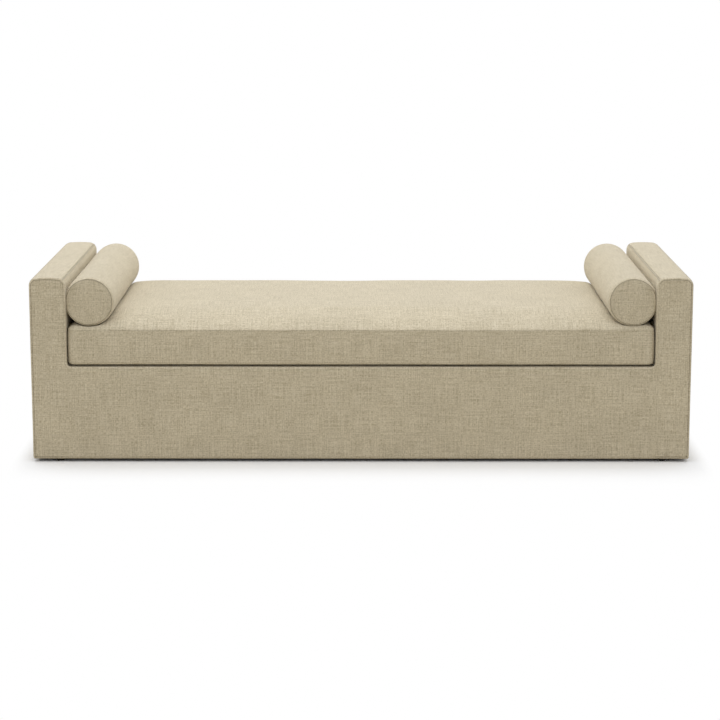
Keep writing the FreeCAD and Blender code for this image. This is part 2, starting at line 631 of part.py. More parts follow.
def main():
    """Build every piece and write it out."""
    os.makedirs("parts", exist_ok=True)
    for name, shape in sorted(make_divan().items()):
        shape.exportStep(f"parts/{name}.step")
        print(f"{name}: {len(shape.Solids)} solid(s), {shape.Volume / 1000:.1f} cm3, valid {shape.isValid()}")


main()
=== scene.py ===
"""Looks of the backless divan: slubby linen covers, a loose boxed cushion, two bolsters and the frame inside.

Lengths are in metres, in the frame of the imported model: origin on the floor under the middle, +X along the
length, -Y the front, +Z up.
"""

from __future__ import annotations

import json
import logging
import math
from dataclasses import dataclass, field
from enum import Enum
from typing import Iterable, Sequence

import bpy
import numpy as np
from bpy.types import Material, Node
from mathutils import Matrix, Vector
from mathutils.geometry import delaunay_2d_cdt

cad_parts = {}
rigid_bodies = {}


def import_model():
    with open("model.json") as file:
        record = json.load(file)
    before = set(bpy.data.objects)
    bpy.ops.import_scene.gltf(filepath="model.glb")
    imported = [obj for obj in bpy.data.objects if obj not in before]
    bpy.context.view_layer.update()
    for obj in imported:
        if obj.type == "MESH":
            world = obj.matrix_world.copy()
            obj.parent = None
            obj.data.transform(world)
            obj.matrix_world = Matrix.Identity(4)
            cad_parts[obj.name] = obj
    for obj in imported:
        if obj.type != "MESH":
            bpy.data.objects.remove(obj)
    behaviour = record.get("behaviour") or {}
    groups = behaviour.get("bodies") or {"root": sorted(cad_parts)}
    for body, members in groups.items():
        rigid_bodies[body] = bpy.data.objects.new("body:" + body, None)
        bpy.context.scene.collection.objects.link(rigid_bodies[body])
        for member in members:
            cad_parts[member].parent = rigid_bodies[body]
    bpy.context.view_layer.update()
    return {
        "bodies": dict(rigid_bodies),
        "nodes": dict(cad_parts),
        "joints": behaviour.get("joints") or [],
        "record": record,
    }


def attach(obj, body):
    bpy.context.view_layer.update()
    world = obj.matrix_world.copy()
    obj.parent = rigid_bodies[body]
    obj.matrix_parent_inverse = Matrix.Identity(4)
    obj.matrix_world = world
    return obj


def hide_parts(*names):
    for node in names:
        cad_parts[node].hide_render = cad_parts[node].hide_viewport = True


LOG = logging.getLogger("divan")
MM = 0.001
# Points, places on the flat cloth, and faces
Shape = tuple[np.ndarray, np.ndarray, Sequence]


# Sizes shared by the pieces


@dataclass(frozen=True)
class DivanSizes:
    """Sizes that more than one piece fits to, the same as in the solid model."""

    half_length: float = 1067 * MM
    half_depth: float = 432 * MM
    arm_height: float = 606 * MM
    arm_width: float = 116 * MM
    base_height: float = 314 * MM
    underside: float = 10 * MM
    corner_radius: float = 25 * MM
    crown_radius: float = 400 * MM
    recess_radius: float = 16 * MM
    foot_radius: float = 5 * MM
    edge_radius: float = 6 * MM
    seam_in: float = 10 * MM
    turn_under: float = 30 * MM
    lip: float = 60 * MM
    deck_top: float = 319.5 * MM
    bolster_radius: float = 81 * MM
    bolster_end_radius: float = 74 * MM
    bolster_half: float = 416 * MM
    bolster_turn: float = 27 * MM
    bolster_x: float = 877 * MM
    bolster_z: float = 524 * MM
    bolster_flat: float = 950.5 * MM

    @property
    def arm_inner(self) -> float:
        """Distance from the middle to the inner face of an arm."""
        return self.half_length - self.arm_width

    @property
    def seam_y(self) -> float:
        """Distance from the middle to the seams round the front and back panels."""
        return self.half_depth - self.edge_radius


class Side(Enum):
    """Left and right as seen in the photograph."""

    LEFT = -1
    RIGHT = 1


# Materials


def linear(code: str) -> tuple[float, float, float, float]:
    """Turn an sRGB hex colour into linear light.

    Args:
        code: Six hex digits with or without a leading hash.

    Returns:
        Red, green, blue and full alpha in linear light.
    """
    digits = code.lstrip("#")
    values = [int(digits[i:i + 2], 16) / 255 for i in (0, 2, 4)]
    red, green, blue = (v / 12.92 if v <= 0.04045 else ((v + 0.055) / 1.055) ** 2.4 for v in values)
    return red, green, blue, 1.0


class Recipe:
    """A node tree being put together for one material, or for the world."""

    def __init__(self, name: str, tree: bpy.types.NodeTree | None = None) -> None:
        """Empty the tree that is given, or that of a new material of this name."""
        if tree is None:
            self.material = bpy.data.materials.new(name)
            self.material.use_nodes = True
            tree = self.material.node_tree
        self.tree = tree
        self.tree.nodes.clear()

    def add(self, kind: str, inputs: dict[str | int, object] | None = None, **settings: object) -> Node:
        """Add a node, set what it is told, and link or fill its inputs.

        Args:
            kind: The node's Blender type name after ShaderNode.
            inputs: What its inputs take, by name or place: a value, a hex colour, a socket, or a node for its
                first output in use.
            settings: Attributes of the node.

        Returns:
            The new node.
        """
        node = self.tree.nodes.new(f"ShaderNode{kind}")
        for key, value in settings.items():
            setattr(node, key, value)
        for key, value in (inputs or {}).items():
            if isinstance(value, Node):
                value = next(socket for socket in value.outputs if socket.enabled)
            if isinstance(value, bpy.types.NodeSocket):
                self.tree.links.new(value, node.inputs[key])
            else:
                node.inputs[key].default_value = linear(value) if isinstance(value, str) else value
        return node

    def finish(self, surface: Node) -> Material:
        """Link the surface to the output and return the material."""
        self.add("OutputMaterial", {"Surface": surface})
        return self.material

    def coated(self, bump: tuple[object, float, float], look: dict[str, object]) -> Material:
        """End the tree in one Principled surface with a bump.

        Args:
            bump: Height, strength and distance of the bump.
            look: What the surface's other inputs take.

        Returns:
            The material.
        """
        height, strength, distance = bump
        raised = self.add("Bump", {"Height": height, "Strength": strength, "Distance": distance})
        return self.finish(self.add("BsdfPrincipled", {**look, "Normal": raised}))


class Grain(Enum):
    """Direction in which the fibres of a piece of wood run."""

    LENGTH = (1.0, 0.0, 0.0)
    DEPTH = (0.0, 1.0, 0.0)
    UP = (0.0, 0.0, 1.0)


@dataclass(frozen=True)
class WovenLinen:
    """Upholstery linen, woven plain from slubby natural yarns.

    Uneven flax yarns give the eye thin streaks along both threads, short thick slubs, a dry matt face, and a
    pale haze of loose fibre where it is seen along the surface.
    """

    name: str = "linen_plain_weave"
    pale_yarn: str = "#DDD3BD"
    main_yarn: str = "#CBC0A7"
    dark_yarn: str = "#AEA38A"
    # Colour of the painted shade in the sewn creases
    crease_shade: str = "#5F5442"
    # The real threads are about 1.1 mm apart, a third of a pixel, so they are drawn a little coarser.
    thread_pitch: float = 1.6 * MM
    yarn_length: float = 10 * MM
    streak_width: float = 2.6 * MM
    streak_length: float = 90 * MM
    slub_width: float = 2.4 * MM
    slub_length: float = 26 * MM
    mottle: float = 160 * MM
    yarn_contrast: float = 1.25
    streak_contrast: float = 0.95
    middle_tone: float = 0.48
    slub_share: float = 0.5
    slub_edge: float = 0.1
    # How far the painted crease shade darkens the cloth
    crease_shade_share: float = 0.42
    relief: float = 0.8 * MM
    roughness: float = 0.92
    sheen: float = 0.62
    sheen_tint: str = "#F3EBD9"

    def make(self) -> Material:
        """Build the cloth's nodes and return the material."""
        recipe = Recipe(self.name)
        cloth = recipe.add("UVMap", uv_map="cloth")

        def drawn_out(along: float, across: float, swap: bool, offset: float, detail: float = 1.0) -> Node:
            """Noise drawn out along one thread direction, from 0 to 1."""
            scale = (1 / along, 1 / across, 1.0) if swap else (1 / across, 1 / along, 1.0)
            placed = recipe.add("Mapping", {"Vector": cloth, "Scale": scale, "Location": (offset, offset, 0)})
            return recipe.add("TexNoise", {"Vector": placed, "Scale": 1.0, "Detail": detail,
                                           "Roughness": 0.6}, noise_dimensions="2D")

        def sum_of(operation: str, first: object, second: object = 0.0, third: object = 0.0) -> Node:
            """Result of one sum."""
            return recipe.add("Math", {0: first, 1: second, 2: third}, operation=operation)

        def soft_step(value: Node, low: float, high: float) -> Node:
            """Value stretched from low..high to 0..1 with soft ends."""
            return recipe.add("MapRange", {"Value": value, "From Min": low, "From Max": high},
                              interpolation_type="SMOOTHSTEP")

        yarns = sum_of("ADD", drawn_out(self.yarn_length, self.thread_pitch, False, 3.1),
                       drawn_out(self.yarn_length, self.thread_pitch, True, 17.7))
        streaks = sum_of("ADD", drawn_out(self.streak_length, self.streak_width, False, 33.0),
                         drawn_out(self.streak_length, self.streak_width, True, 57.4))
        slubs = sum_of("MAXIMUM", *(
            soft_step(drawn_out(self.slub_length, self.slub_width, swap, offset), low, low + self.slub_edge)
            for swap, offset, low in ((False, 41.3, 0.66), (True, 63.9, 0.64))))
        mottle = drawn_out(self.mottle, self.mottle, False, 91.0, 3.0)

        split = recipe.add("SeparateXYZ", {"Vector": cloth})
        turns = math.tau / (2 * self.thread_pitch)
        ridge_u, ridge_v = (sum_of("SINE", sum_of("MULTIPLY", place, turns)) for place in split.outputs[:2])
        # Product of two sines: over-and-under of a plain weave
        weave = sum_of("MULTIPLY", ridge_u, ridge_v)

        tone = sum_of("MULTIPLY_ADD", sum_of("SUBTRACT", yarns, 1.0), self.yarn_contrast, self.middle_tone)
        tone = sum_of("MULTIPLY_ADD", sum_of("SUBTRACT", streaks, 1.0), self.streak_contrast, tone)
        shades = recipe.add("ValToRGB", {"Fac": tone})
        ramp = shades.color_ramp
        ramp.elements[0].position, ramp.elements[0].color = 0.0, linear(self.dark_yarn)
        ramp.elements[1].position, ramp.elements[1].color = 1.0, linear(self.pale_yarn)
        ramp.elements.new(0.5).color = linear(self.main_yarn)
        paler = recipe.add("Mix", {"Factor": sum_of("MULTIPLY", slubs, self.slub_share), 6: shades,
                                   7: self.pale_yarn}, data_type="RGBA")
        shade = recipe.add("MapRange", {"Value": mottle, "From Min": 0.3, "From Max": 0.7, "To Min": 0.97,
                                        "To Max": 1.03})
        # Painted shade and highlight of the weave's relief: darker where the threads dip, lighter on their
        # crowns
        between = recipe.add("MapRange", {"Value": weave, "From Min": -1.0, "From Max": 1.0, "To Min": 0.94,
                                          "To Max": 1.04})
        both = sum_of("MULTIPLY", shade, between)
        grey = recipe.add("CombineColor", {0: both, 1: both, 2: both})
        toned = recipe.add("Mix", {"Factor": 1.0, 6: paler, 7: grey}, data_type="RGBA", blend_type="MULTIPLY")

        # Painted shade in the sewn creases, darker where the seams fold in
        crease = recipe.add("Attribute", attribute_name="crease").outputs["Fac"]
        toned = recipe.add("Mix", {"Factor": sum_of("MULTIPLY", crease, self.crease_shade_share), 6: toned,
                                   7: self.crease_shade}, data_type="RGBA")

        height = sum_of("MULTIPLY_ADD", weave, 0.25, sum_of("MULTIPLY", yarns, 0.7))
        height = sum_of("MULTIPLY_ADD", slubs, 0.5, height)
        height = sum_of("MULTIPLY_ADD", streaks, 0.6, height)
        rough = recipe.add("MapRange", {"Value": yarns, "From Min": 0.7, "From Max": 1.3,
                                        "To Min": self.roughness + 0.05, "To Max": self.roughness - 0.08})
        return recipe.coated((height, 0.8, self.relief), {
            "Base Color": toned, "Roughness": rough, "IOR": 1.5, "Specular IOR Level": 0.25,
            "Sheen Weight": self.sheen, "Sheen Roughness": 0.4, "Sheen Tint": self.sheen_tint})


@dataclass(frozen=True)
class SpunBondedCloth:
    """Black polypropylene dust cloth, spun-bonded.

    Fine matted fibres pressed with small dots give the eye a dull black felt-like face with faint points.
    """

    name: str = "polypropylene_spun_bonded"
    fibre: str = "#1B1B1C"
    pressed: str = "#0E0E0F"
    # The real bond points are 1.5 mm apart, drawn at twice that to show.
    dot_pitch: float = 3.0 * MM
    fibre_width: float = 0.8 * MM

    def make(self) -> Material:
        """Build the cloth's nodes and return the material."""
        recipe = Recipe(self.name)
        place = recipe.add("UVMap", uv_map="cloth")
        dots = recipe.add("TexVoronoi", {"Vector": place, "Scale": 1 / self.dot_pitch, "Randomness": 0.15},
                          voronoi_dimensions="2D")
        point = recipe.add("MapRange", {"Value": dots, "From Min": 0.18, "From Max": 0.32},
                           interpolation_type="SMOOTHSTEP")
        fibres = recipe.add("TexNoise", {"Vector": place, "Scale": 0.5 / self.fibre_width, "Detail": 4.0,
                                         "Distortion": 1.5}, noise_dimensions="2D")
        share = recipe.add("Math", {0: point, 1: fibres}, operation="MULTIPLY")
        colour = recipe.add("Mix", {"Factor": share, 6: self.pressed, 7: self.fibre}, data_type="RGBA")
        return recipe.coated((share, 0.4, 0.3 * MM), {
            "Base Color": colour, "Roughness": 0.88, "IOR": 1.49,
            "Sheen Weight": 0.12, "Sheen Roughness": 0.5})


@dataclass(frozen=True)
class MouldedPlastic:
    """Black polypropylene, injection moulded and worn on its foot.

    A spark-eroded mould gives the eye a fine even grain with a soft highlight.
    """

    name: str = "polypropylene_moulded"
    body: str = "#131314"
    scuffed: str = "#2B2B2C"
    grain: float = 0.5 * MM
    scuff: float = 6 * MM

    def make(self) -> Material:
        """Build the plastic's nodes and return the material."""
        recipe = Recipe(self.name)
        place = recipe.add("TexCoord").outputs["Object"]
        grain = recipe.add("TexNoise", {"Vector": place, "Scale": 1 / self.grain, "Detail": 2.0})
        scuff = recipe.add("TexNoise", {"Vector": place, "Scale": 1 / self.scuff, "Detail": 5.0})
        worn = recipe.add("MapRange", {"Value": scuff, "From Min": 0.52, "From Max": 0.72})
        colour = recipe.add("Mix", {"Factor": worn, 6: self.body, 7: self.scuffed}, data_type="RGBA")
        rough = recipe.add("MapRange", {"Value": worn, "To Min": 0.42, "To Max": 0.6})
        return recipe.coated((grain, 0.25, 0.1 * MM), {
            "Base Color": colour, "Roughness": rough, "IOR": 1.49})


@dataclass(frozen=True)
class PlanedPine:
    """Planed pine, left unfinished.

    Growth rings cut lengthwise give the eye darker wavy lines along the grain on a pale dry face.
    """

    grain: Grain
    early: str = "#DDBF92"
    late: str = "#B98B57"
    ring: float = 9 * MM
    stretch: float = 22.0
    fibre: float = 0.7 * MM

    def make(self) -> Material:
        """Build the wood's nodes and return the material."""
        recipe = Recipe(f"pine_planed_{self.grain.name.lower()}")
        place = recipe.add("TexCoord").outputs["Object"]
        squeeze = tuple(1 / self.stretch if along else 1.0 for along in self.grain.value)
        drawn = recipe.add("Mapping", {"Vector": place, "Scale": squeeze})
        swirl = recipe.add("TexNoise", {"Vector": drawn, "Scale": 6.0, "Detail": 2.0})
        rings = recipe.add("Math", {0: swirl, 1: 0.35 / self.ring, 2: 0.0}, operation="MULTIPLY_ADD")
        wave = recipe.add("Math", {0: rings}, operation="FRACT")
        late = recipe.add("MapRange", {"Value": wave, "From Min": 0.45, "From Max": 1.0},
                          interpolation_type="SMOOTHSTEP")
        fibres = recipe.add("TexNoise", {"Vector": drawn, "Scale": 1 / self.fibre, "Detail": 2.0})
        colour = recipe.add("Mix", {"Factor": late, 6: self.early, 7: self.late}, data_type="RGBA")
        fleck = recipe.add("MapRange", {"Value": fibres, "To Min": 0.86, "To Max": 1.08})
        toned = recipe.add("HueSaturation", {"Color": colour, "Value": fleck})
        rough = recipe.add("MapRange", {"Value": late, "To Min": 0.72, "To Max": 0.58})
        return recipe.coated((fibres, 0.3, 0.2 * MM), {
            "Base Color": toned, "Roughness": rough, "IOR": 1.53})


@dataclass(frozen=True)
class PressedHardboard:
    """Brown hardboard, hot pressed from wood fibre.

    Matted short fibres give the eye a brown mottle with a slightly burnished face.
    """

    name: str = "hardboard_pressed"
    pale: str = "#9A7248"
    dark: str = "#5E4128"
    fibre: float = 1.2 * MM
    mottle: float = 40 * MM

    def make(self) -> Material:
        """Build the board's nodes and return the material."""
        recipe = Recipe(self.name)
        place = recipe.add("TexCoord").outputs["Object"]
        fibres = recipe.add("TexNoise", {"Vector": place, "Scale": 1 / self.fibre, "Detail": 3.0,
                                         "Distortion": 2.0})
        mottle = recipe.add("TexNoise", {"Vector": place, "Scale": 1 / self.mottle, "Detail": 2.0})
        mixed = recipe.add("Math", {0: fibres, 1: mottle}, operation="MULTIPLY")
        tone = recipe.add("MapRange", {"Value": mixed, "From Min": 0.12, "From Max": 0.4})
        colour = recipe.add("Mix", {"Factor": tone, 6: self.dark, 7: self.pale}, data_type="RGBA")
        return recipe.coated((fibres, 0.2, 0.15 * MM), {
            "Base Color": colour, "Roughness": 0.55, "IOR": 1.53})


@dataclass(frozen=True)
class DrawnSteel:
    """Steel wire or strip, cold drawn and then tempered or plated.

    Drawing gives the eye fine lines and a soft long highlight; tempering darkens it and plating pales it.
    """

    name: str
    bright: str
    dull: str
    roughness: float
    spot: float = 5 * MM

    def make(self) -> Material:
        """Build the metal's nodes and return the material."""
        recipe = Recipe(self.name)
        place = recipe.add("TexCoord").outputs["Object"]
        spots = recipe.add("TexNoise", {"Vector": place, "Scale": 1 / self.spot, "Detail": 4.0})
        tone = recipe.add("MapRange", {"Value": spots, "From Min": 0.35, "From Max": 0.65})
        colour = recipe.add("Mix", {"Factor": tone, 6: self.dull, 7: self.bright}, data_type="RGBA")
        rough = recipe.add("MapRange", {"Value": tone, "To Min": self.roughness + 0.12,
                                        "To Max": self.roughness})
        scratch = recipe.add("TexNoise", {"Vector": place, "Scale": 12 / self.spot, "Detail": 2.0})
        return recipe.coated((scratch, 0.1, 0.05 * MM), {
            "Base Color": colour, "Roughness": rough, "Metallic": 1.0})


@dataclass(frozen=True)
class LacqueredZinc:
    """Die-cast zinc with baked beige lacquer, rubbed on its edges.

    Lacquer gives the eye a smooth satin coat over slightly uneven castings.
    """

    name: str = "zinc_die_cast_lacquered"
    lacquer: str = "#B9AD94"
    rubbed: str = "#8F8A80"
    patch: float = 3 * MM

    def make(self) -> Material:
        """Build the lacquer's nodes and return the material."""
        recipe = Recipe(self.name)
        place = recipe.add("TexCoord").outputs["Object"]
        patches = recipe.add("TexNoise", {"Vector": place, "Scale": 1 / self.patch, "Detail": 4.0})
        worn = recipe.add("MapRange", {"Value": patches, "From Min": 0.58, "From Max": 0.7})
        colour = recipe.add("Mix", {"Factor": worn, 6: self.lacquer, 7: self.rubbed}, data_type="RGBA")
        return recipe.coated((patches, 0.15, 0.1 * MM), {
            "Base Color": colour, "Roughness": 0.38, "IOR": 1.5,
            "Coat Weight": 0.35, "Coat Roughness": 0.25})


@dataclass(frozen=True)
class NylonCoil:
    """Beige nylon monofilament, wound and sewn to a woven polyester tape.

    The smooth filament gives the eye small satin highlights on each turn; the tape between is dull.
    """

    name: str = "nylon_monofilament_coil"
    pale: str = "#D6CBB2"
    shade: str = "#B9AD92"
    fleck: float = 1.1 * MM

    def make(self) -> Material:
        """Build the nylon's nodes and return the material."""
        recipe = Recipe(self.name)
        place = recipe.add("TexCoord").outputs["Object"]
        flecks = recipe.add("TexNoise", {"Vector": place, "Scale": 1 / self.fleck, "Detail": 2.0})
        colour = recipe.add("Mix", {"Factor": flecks, 6: self.shade, 7: self.pale}, data_type="RGBA")
        rough = recipe.add("MapRange", {"Value": flecks, "To Min": 0.35, "To Max": 0.6})
        return recipe.coated((flecks, 0.2, 0.1 * MM), {
            "Base Color": colour, "Roughness": rough, "IOR": 1.53})


class Finishes:
    """Every finish of the divan, made once."""

    def __init__(self) -> None:
        """Make the finishes."""
        self.linen = WovenLinen().make()
        self.dust_cloth = SpunBondedCloth().make()
        self.plastic = MouldedPlastic().make()
        self.pine_length, self.pine_depth, self.pine_up = (PlanedPine(grain).make() for grain in Grain)
        self.hardboard = PressedHardboard().make()
        self.spring = DrawnSteel("spring_steel_oil_tempered", "#8A8A8C", "#4B4B50", 0.34).make()
        self.clip = DrawnSteel("steel_strip_zinc_plated", "#D3D5D6", "#A4A7AA", 0.3).make()
        self.lacquer = LacqueredZinc().make()
        self.coil = NylonCoil().make()

    def dress_frame(self, nodes: Iterable[str]) -> None:
        """Give each carried-over part of the frame its finish.

        Args:
            nodes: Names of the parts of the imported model.
        """
        by_word = {"centre_leg": self.pine_up, "posts": self.pine_up, "corner_blocks": self.pine_up,
                   "spreaders": self.pine_depth, "top_rail": self.pine_depth, "bottom_rail": self.pine_depth,
                   "deck_rail": self.pine_depth, "front_rail": self.pine_length,
                   "back_rail": self.pine_length, "liners": self.hardboard, "spring_clips": self.clip,
                   "springs": self.spring, "tie_wires": self.spring}
        for node in nodes:
            finish = next((made for word, made in by_word.items() if node.endswith(word)), None)
            if finish is None:
                continue
            mesh = bpy.data.objects[node].data
            mesh.materials.clear()
            mesh.materials.append(finish)
            LOG.info("%s: %s", node, finish.name)


# Meshes


def smooth_noise(points: np.ndarray, wavelength: float, seed: int) -> np.ndarray:
    """Gentle unevenness of hand-stretched cloth, the same on every run.

    Args:
        points: Places, one row each.
        wavelength: Typical distance between swells.
        seed: Which of the many patterns to take.

    Returns:
        One value per place, mostly between -1 and 1.
    """
    dice = np.random.default_rng(seed)
    total = np.zeros(len(points))
    for _ in range(9):
        way = dice.normal(size=3)
        way *= math.tau / wavelength / np.linalg.norm(way) * dice.uniform(0.5, 1.5)
        total += np.sin(points @ way + dice.uniform(0, math.tau))
    return total / 3


def add_piece(name: str, vertices: Sequence, faces: Sequence, texture: np.ndarray | None,
              material: Material, smooth: bool = True) -> bpy.types.Object:
    """Make a mesh object at the origin.

    Args:
        name: The piece's name.
        vertices: Places in the frame of the model.
        faces: Vertex numbers of each face.
        texture: Place on the flat cloth of each vertex in metres, and after it how much painted crease shade
            it takes.
        material: Its finish.
        smooth: Whether its faces are shaded smooth.

    Returns:
        The new object.
    """
    mesh = bpy.data.meshes.new(name)
    mesh.from_pydata([tuple(v) for v in vertices], [], [tuple(f) for f in faces])
    if texture is not None:
        layer = mesh.uv_layers.new(name="cloth")
        corners = np.empty(len(mesh.loops), dtype=np.int64)
        mesh.loops.foreach_get("vertex_index", corners)
        flat = texture[corners]
        layer.data.foreach_set("uv", np.ascontiguousarray(flat[:, :2], dtype=np.float32).ravel())
        if texture.shape[1] > 2:
            # Weight of the painted shade along the seams
            crease = mesh.attributes.new(name="crease", type="FLOAT", domain="POINT")
            crease.data.foreach_set("value", np.ascontiguousarray(texture[:, 2], dtype=np.float32))
    mesh.polygons.foreach_set("use_smooth", [smooth] * len(mesh.polygons))
    mesh.materials.append(material)
    piece = bpy.data.objects.new(name, mesh)
    bpy.context.scene.collection.objects.link(piece)
    return piece


def fitted(name: str, shape: Shape, material: Material, body: str, stands_for: Sequence[str] = (),
           smooth: bool = True) -> bpy.types.Object:
    """Make a piece and say what it belongs to.

    Args:
        name: The piece's name.
        shape: Its points, their places on the flat cloth, and its faces.
        material: Its finish.
        body: The body that it moves with.
        stands_for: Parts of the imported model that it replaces.
        smooth: Whether its faces are shaded smooth.

    Returns:
        The new object.
    """
    vertices, flat, faces = shape
    piece = add_piece(name, vertices, faces, flat, material, smooth)
    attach(piece, body)
    if stands_for:
        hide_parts(*stands_for)
    LOG.info("%s: %d vertices", name, len(vertices))
    return piece


def grid_faces(rows: int, columns: int, turned: bool = False) -> np.ndarray:
    """Faces between the points of a grid, which look the other way where turned."""
    number = np.arange(rows * columns).reshape(rows, columns)
    corners = [number[:-1, :-1], number[1:, :-1], number[1:, 1:], number[:-1, 1:]]
    if turned:
        corners = [corners[0], *corners[:0:-1]]
    return np.stack(corners, axis=-1).reshape(-1, 4)


def ring_faces(rings: int, around: int, start: int = 0) -> list[tuple[int, ...]]:
    """Faces between closed rings of points that follow each other from a first point on."""
    faces = []
    for first in range(start, start + (rings - 1) * around, around):
        for i in range(around):
            j = (i + 1) % around
            faces.append((first + i, first + j, first + around + j, first + around + i))
    return faces


def run_along(points: np.ndarray) -> np.ndarray:
    """Distance of each point along the line through them all."""
    return np.concatenate([[0], np.cumsum(np.linalg.norm(np.diff(points, axis=0), axis=1))])


@dataclass(frozen=True)
class Sewing:
    """How the edge of a panel looks where it is sewn to the next one."""

    roll: float = 2.0 * MM
    tuck: float = 3.4 * MM
    ridge: float = 0.35 * MM
    ridge_run: float = 9 * MM
    pucker: float = 0.12 * MM
    pucker_pitch: float = 9 * MM
    # Half width and weight of the painted shade along each seam
    crease_half: float = 1.2 * MM
    crease_shade_weight: float = 1.0

    def depth(self, distance: np.ndarray) -> np.ndarray:
        """How far the cloth has turned in at each distance from the seam."""
        left = np.clip(self.roll - distance, 0, self.roll)
        turned = self.roll - np.sqrt(self.roll ** 2 - left ** 2)
        swell = self.ridge * np.exp(-((distance - self.roll) / self.ridge_run) ** 2)
        return turned - np.where(distance >= self.roll, swell, swell * distance / self.roll)

    def steps(self, length: float, step: float, first: bool, last: bool) -> tuple[np.ndarray, np.ndarray]:
        """Distances along a panel, close together at its sewn ends.

        Args:
            length: Full length of the panel.
            step: Distance between rows in its middle.
            first: Whether it is sewn at its start.
            last: Whether it is sewn at its end.

        Returns:
            The distances, and for each whether it is the hidden tucked row.
        """
        fine = [0.0, 0.0, 0.15 * MM, 0.45 * MM, 0.85 * MM, 1.3 * MM, 2.4 * MM, 4.5 * MM, 7.5 * MM]
        start = fine if first else [0.0]
        end = [length - d for d in (fine if last else [0.0])][::-1]
        inner = length - start[-1] - (length - end[0])
        count = max(int(round(inner / step)), 1)
        middle = start[-1] + inner * np.arange(1, count) / count
        distances = np.array([*start, *middle, *end])
        hidden = np.zeros(len(distances), dtype=bool)
        hidden[0], hidden[-1] = first, last
        return distances, hidden


def cubic_weights(places: np.ndarray, count: int) -> np.ndarray:
    """Weights that read a smooth curve through evenly numbered points.

    Args:
        places: Where to read it, in point numbers.
        count: How many points there are.

    Returns:
        A matrix that turns the points into the values read.
    """
    base = np.clip(np.floor(places).astype(int), 0, count - 2)
    t = places - base
    weights = np.zeros((len(places), count))
    parts = (-0.5 * t + t ** 2 - 0.5 * t ** 3, 1 - 2.5 * t ** 2 + 1.5 * t ** 3,
             0.5 * t + 2 * t ** 2 - 1.5 * t ** 3, -0.5 * t ** 2 + 0.5 * t ** 3)
    rows = np.arange(len(places))
    for shift, part in zip((-1, 0, 1, 2), parts):
        np.add.at(weights, (rows, np.clip(base + shift, 0, count - 1)), part)
    return weights


@dataclass
class ClothPanel:
    """One cut panel of cloth as a grid of points, sewn on some of its sides."""

    grid: np.ndarray
    across: np.ndarray
    along: np.ndarray
    sewn: tuple[bool, bool, bool, bool]
    sewing: Sewing = field(default_factory=Sewing)
    step: float = 9 * MM
    texture_origin: tuple[float, float] = (0.0, 0.0)
    seed: int = 1
    uneven: float = 0.25 * MM

    def dense(self) -> tuple[np.ndarray, np.ndarray, np.ndarray]:
        """Fine grid of the sewn panel.

        Returns:
            Its points, its places on the flat cloth with the weight of painted crease shade, and its faces.
        """
        u, hidden_u = self.sewing.steps(self.across[-1] - self.across[0], self.step, *self.sewn[:2])
        v, hidden_v = self.sewing.steps(self.along[-1] - self.along[0], self.step, *self.sewn[2:])
        place_u = np.interp(u + self.across[0], self.across, np.arange(len(self.across)))
        place_v = np.interp(v + self.along[0], self.along, np.arange(len(self.along)))
        surface = np.einsum("ai,ijk,bj->abk", cubic_weights(place_u, len(self.across)), self.grid,
                            cubic_weights(place_v, len(self.along)))
        normals = self.normals(surface, u, v)
        edges = [u[:, None], (u[-1] - u)[:, None], v[None, :], (v[-1] - v)[None, :]]
        depth, crease = np.zeros(surface.shape[:2]), np.zeros(surface.shape[:2])
        points = surface.reshape(-1, 3)
        swell = smooth_noise(points, self.sewing.pucker_pitch * 1.6, self.seed).reshape(depth.shape)
        for number in np.flatnonzero(self.sewn):
            distance = np.broadcast_to(edges[number], depth.shape)
            depth = np.maximum(depth, self.sewing.depth(distance)) if number else self.sewing.depth(distance)
            depth = depth + self.sewing.pucker * swell * np.exp(-distance / self.sewing.pucker_pitch)
            # Painted shade close to each sewn edge
            crease = np.maximum(crease, np.exp(-(distance / self.sewing.crease_half) ** 2))
        hidden = hidden_u[:, None] | hidden_v[None, :]
        depth = depth + np.where(hidden, self.sewing.tuck, 0.0)
        depth = depth + self.uneven * smooth_noise(points, 0.21, self.seed + 5).reshape(depth.shape)
        shaped = surface - normals * depth[..., None]
        left, low = self.texture_origin
        flat = np.stack(np.broadcast_arrays(u[:, None] + left, v[None, :] + low,
                                            crease * self.sewing.crease_shade_weight), axis=-1)
        return shaped.reshape(-1, 3), flat.reshape(-1, 3), grid_faces(*depth.shape)

    @staticmethod
    def normals(surface: np.ndarray, u: np.ndarray, v: np.ndarray) -> np.ndarray:
        """Outward normals of a grid whose rows at its sewn ends may lie on each other."""

        def slope(points: np.ndarray, at: np.ndarray, axis: int) -> np.ndarray:
            """Change from one row to the next, without the doubled rows."""
            keep = np.concatenate([[True], np.diff(at) > 1e-9])
            rows = np.flatnonzero(keep)
            taken = np.gradient(np.take(points, rows, axis=axis), at[rows], axis=axis)
            back = np.cumsum(keep) - 1
            return np.take(taken, back, axis=axis)

        found = np.cross(slope(surface, u, 0), slope(surface, v, 1))
        return found / np.maximum(np.linalg.norm(found, axis=-1, keepdims=True), 1e-12)


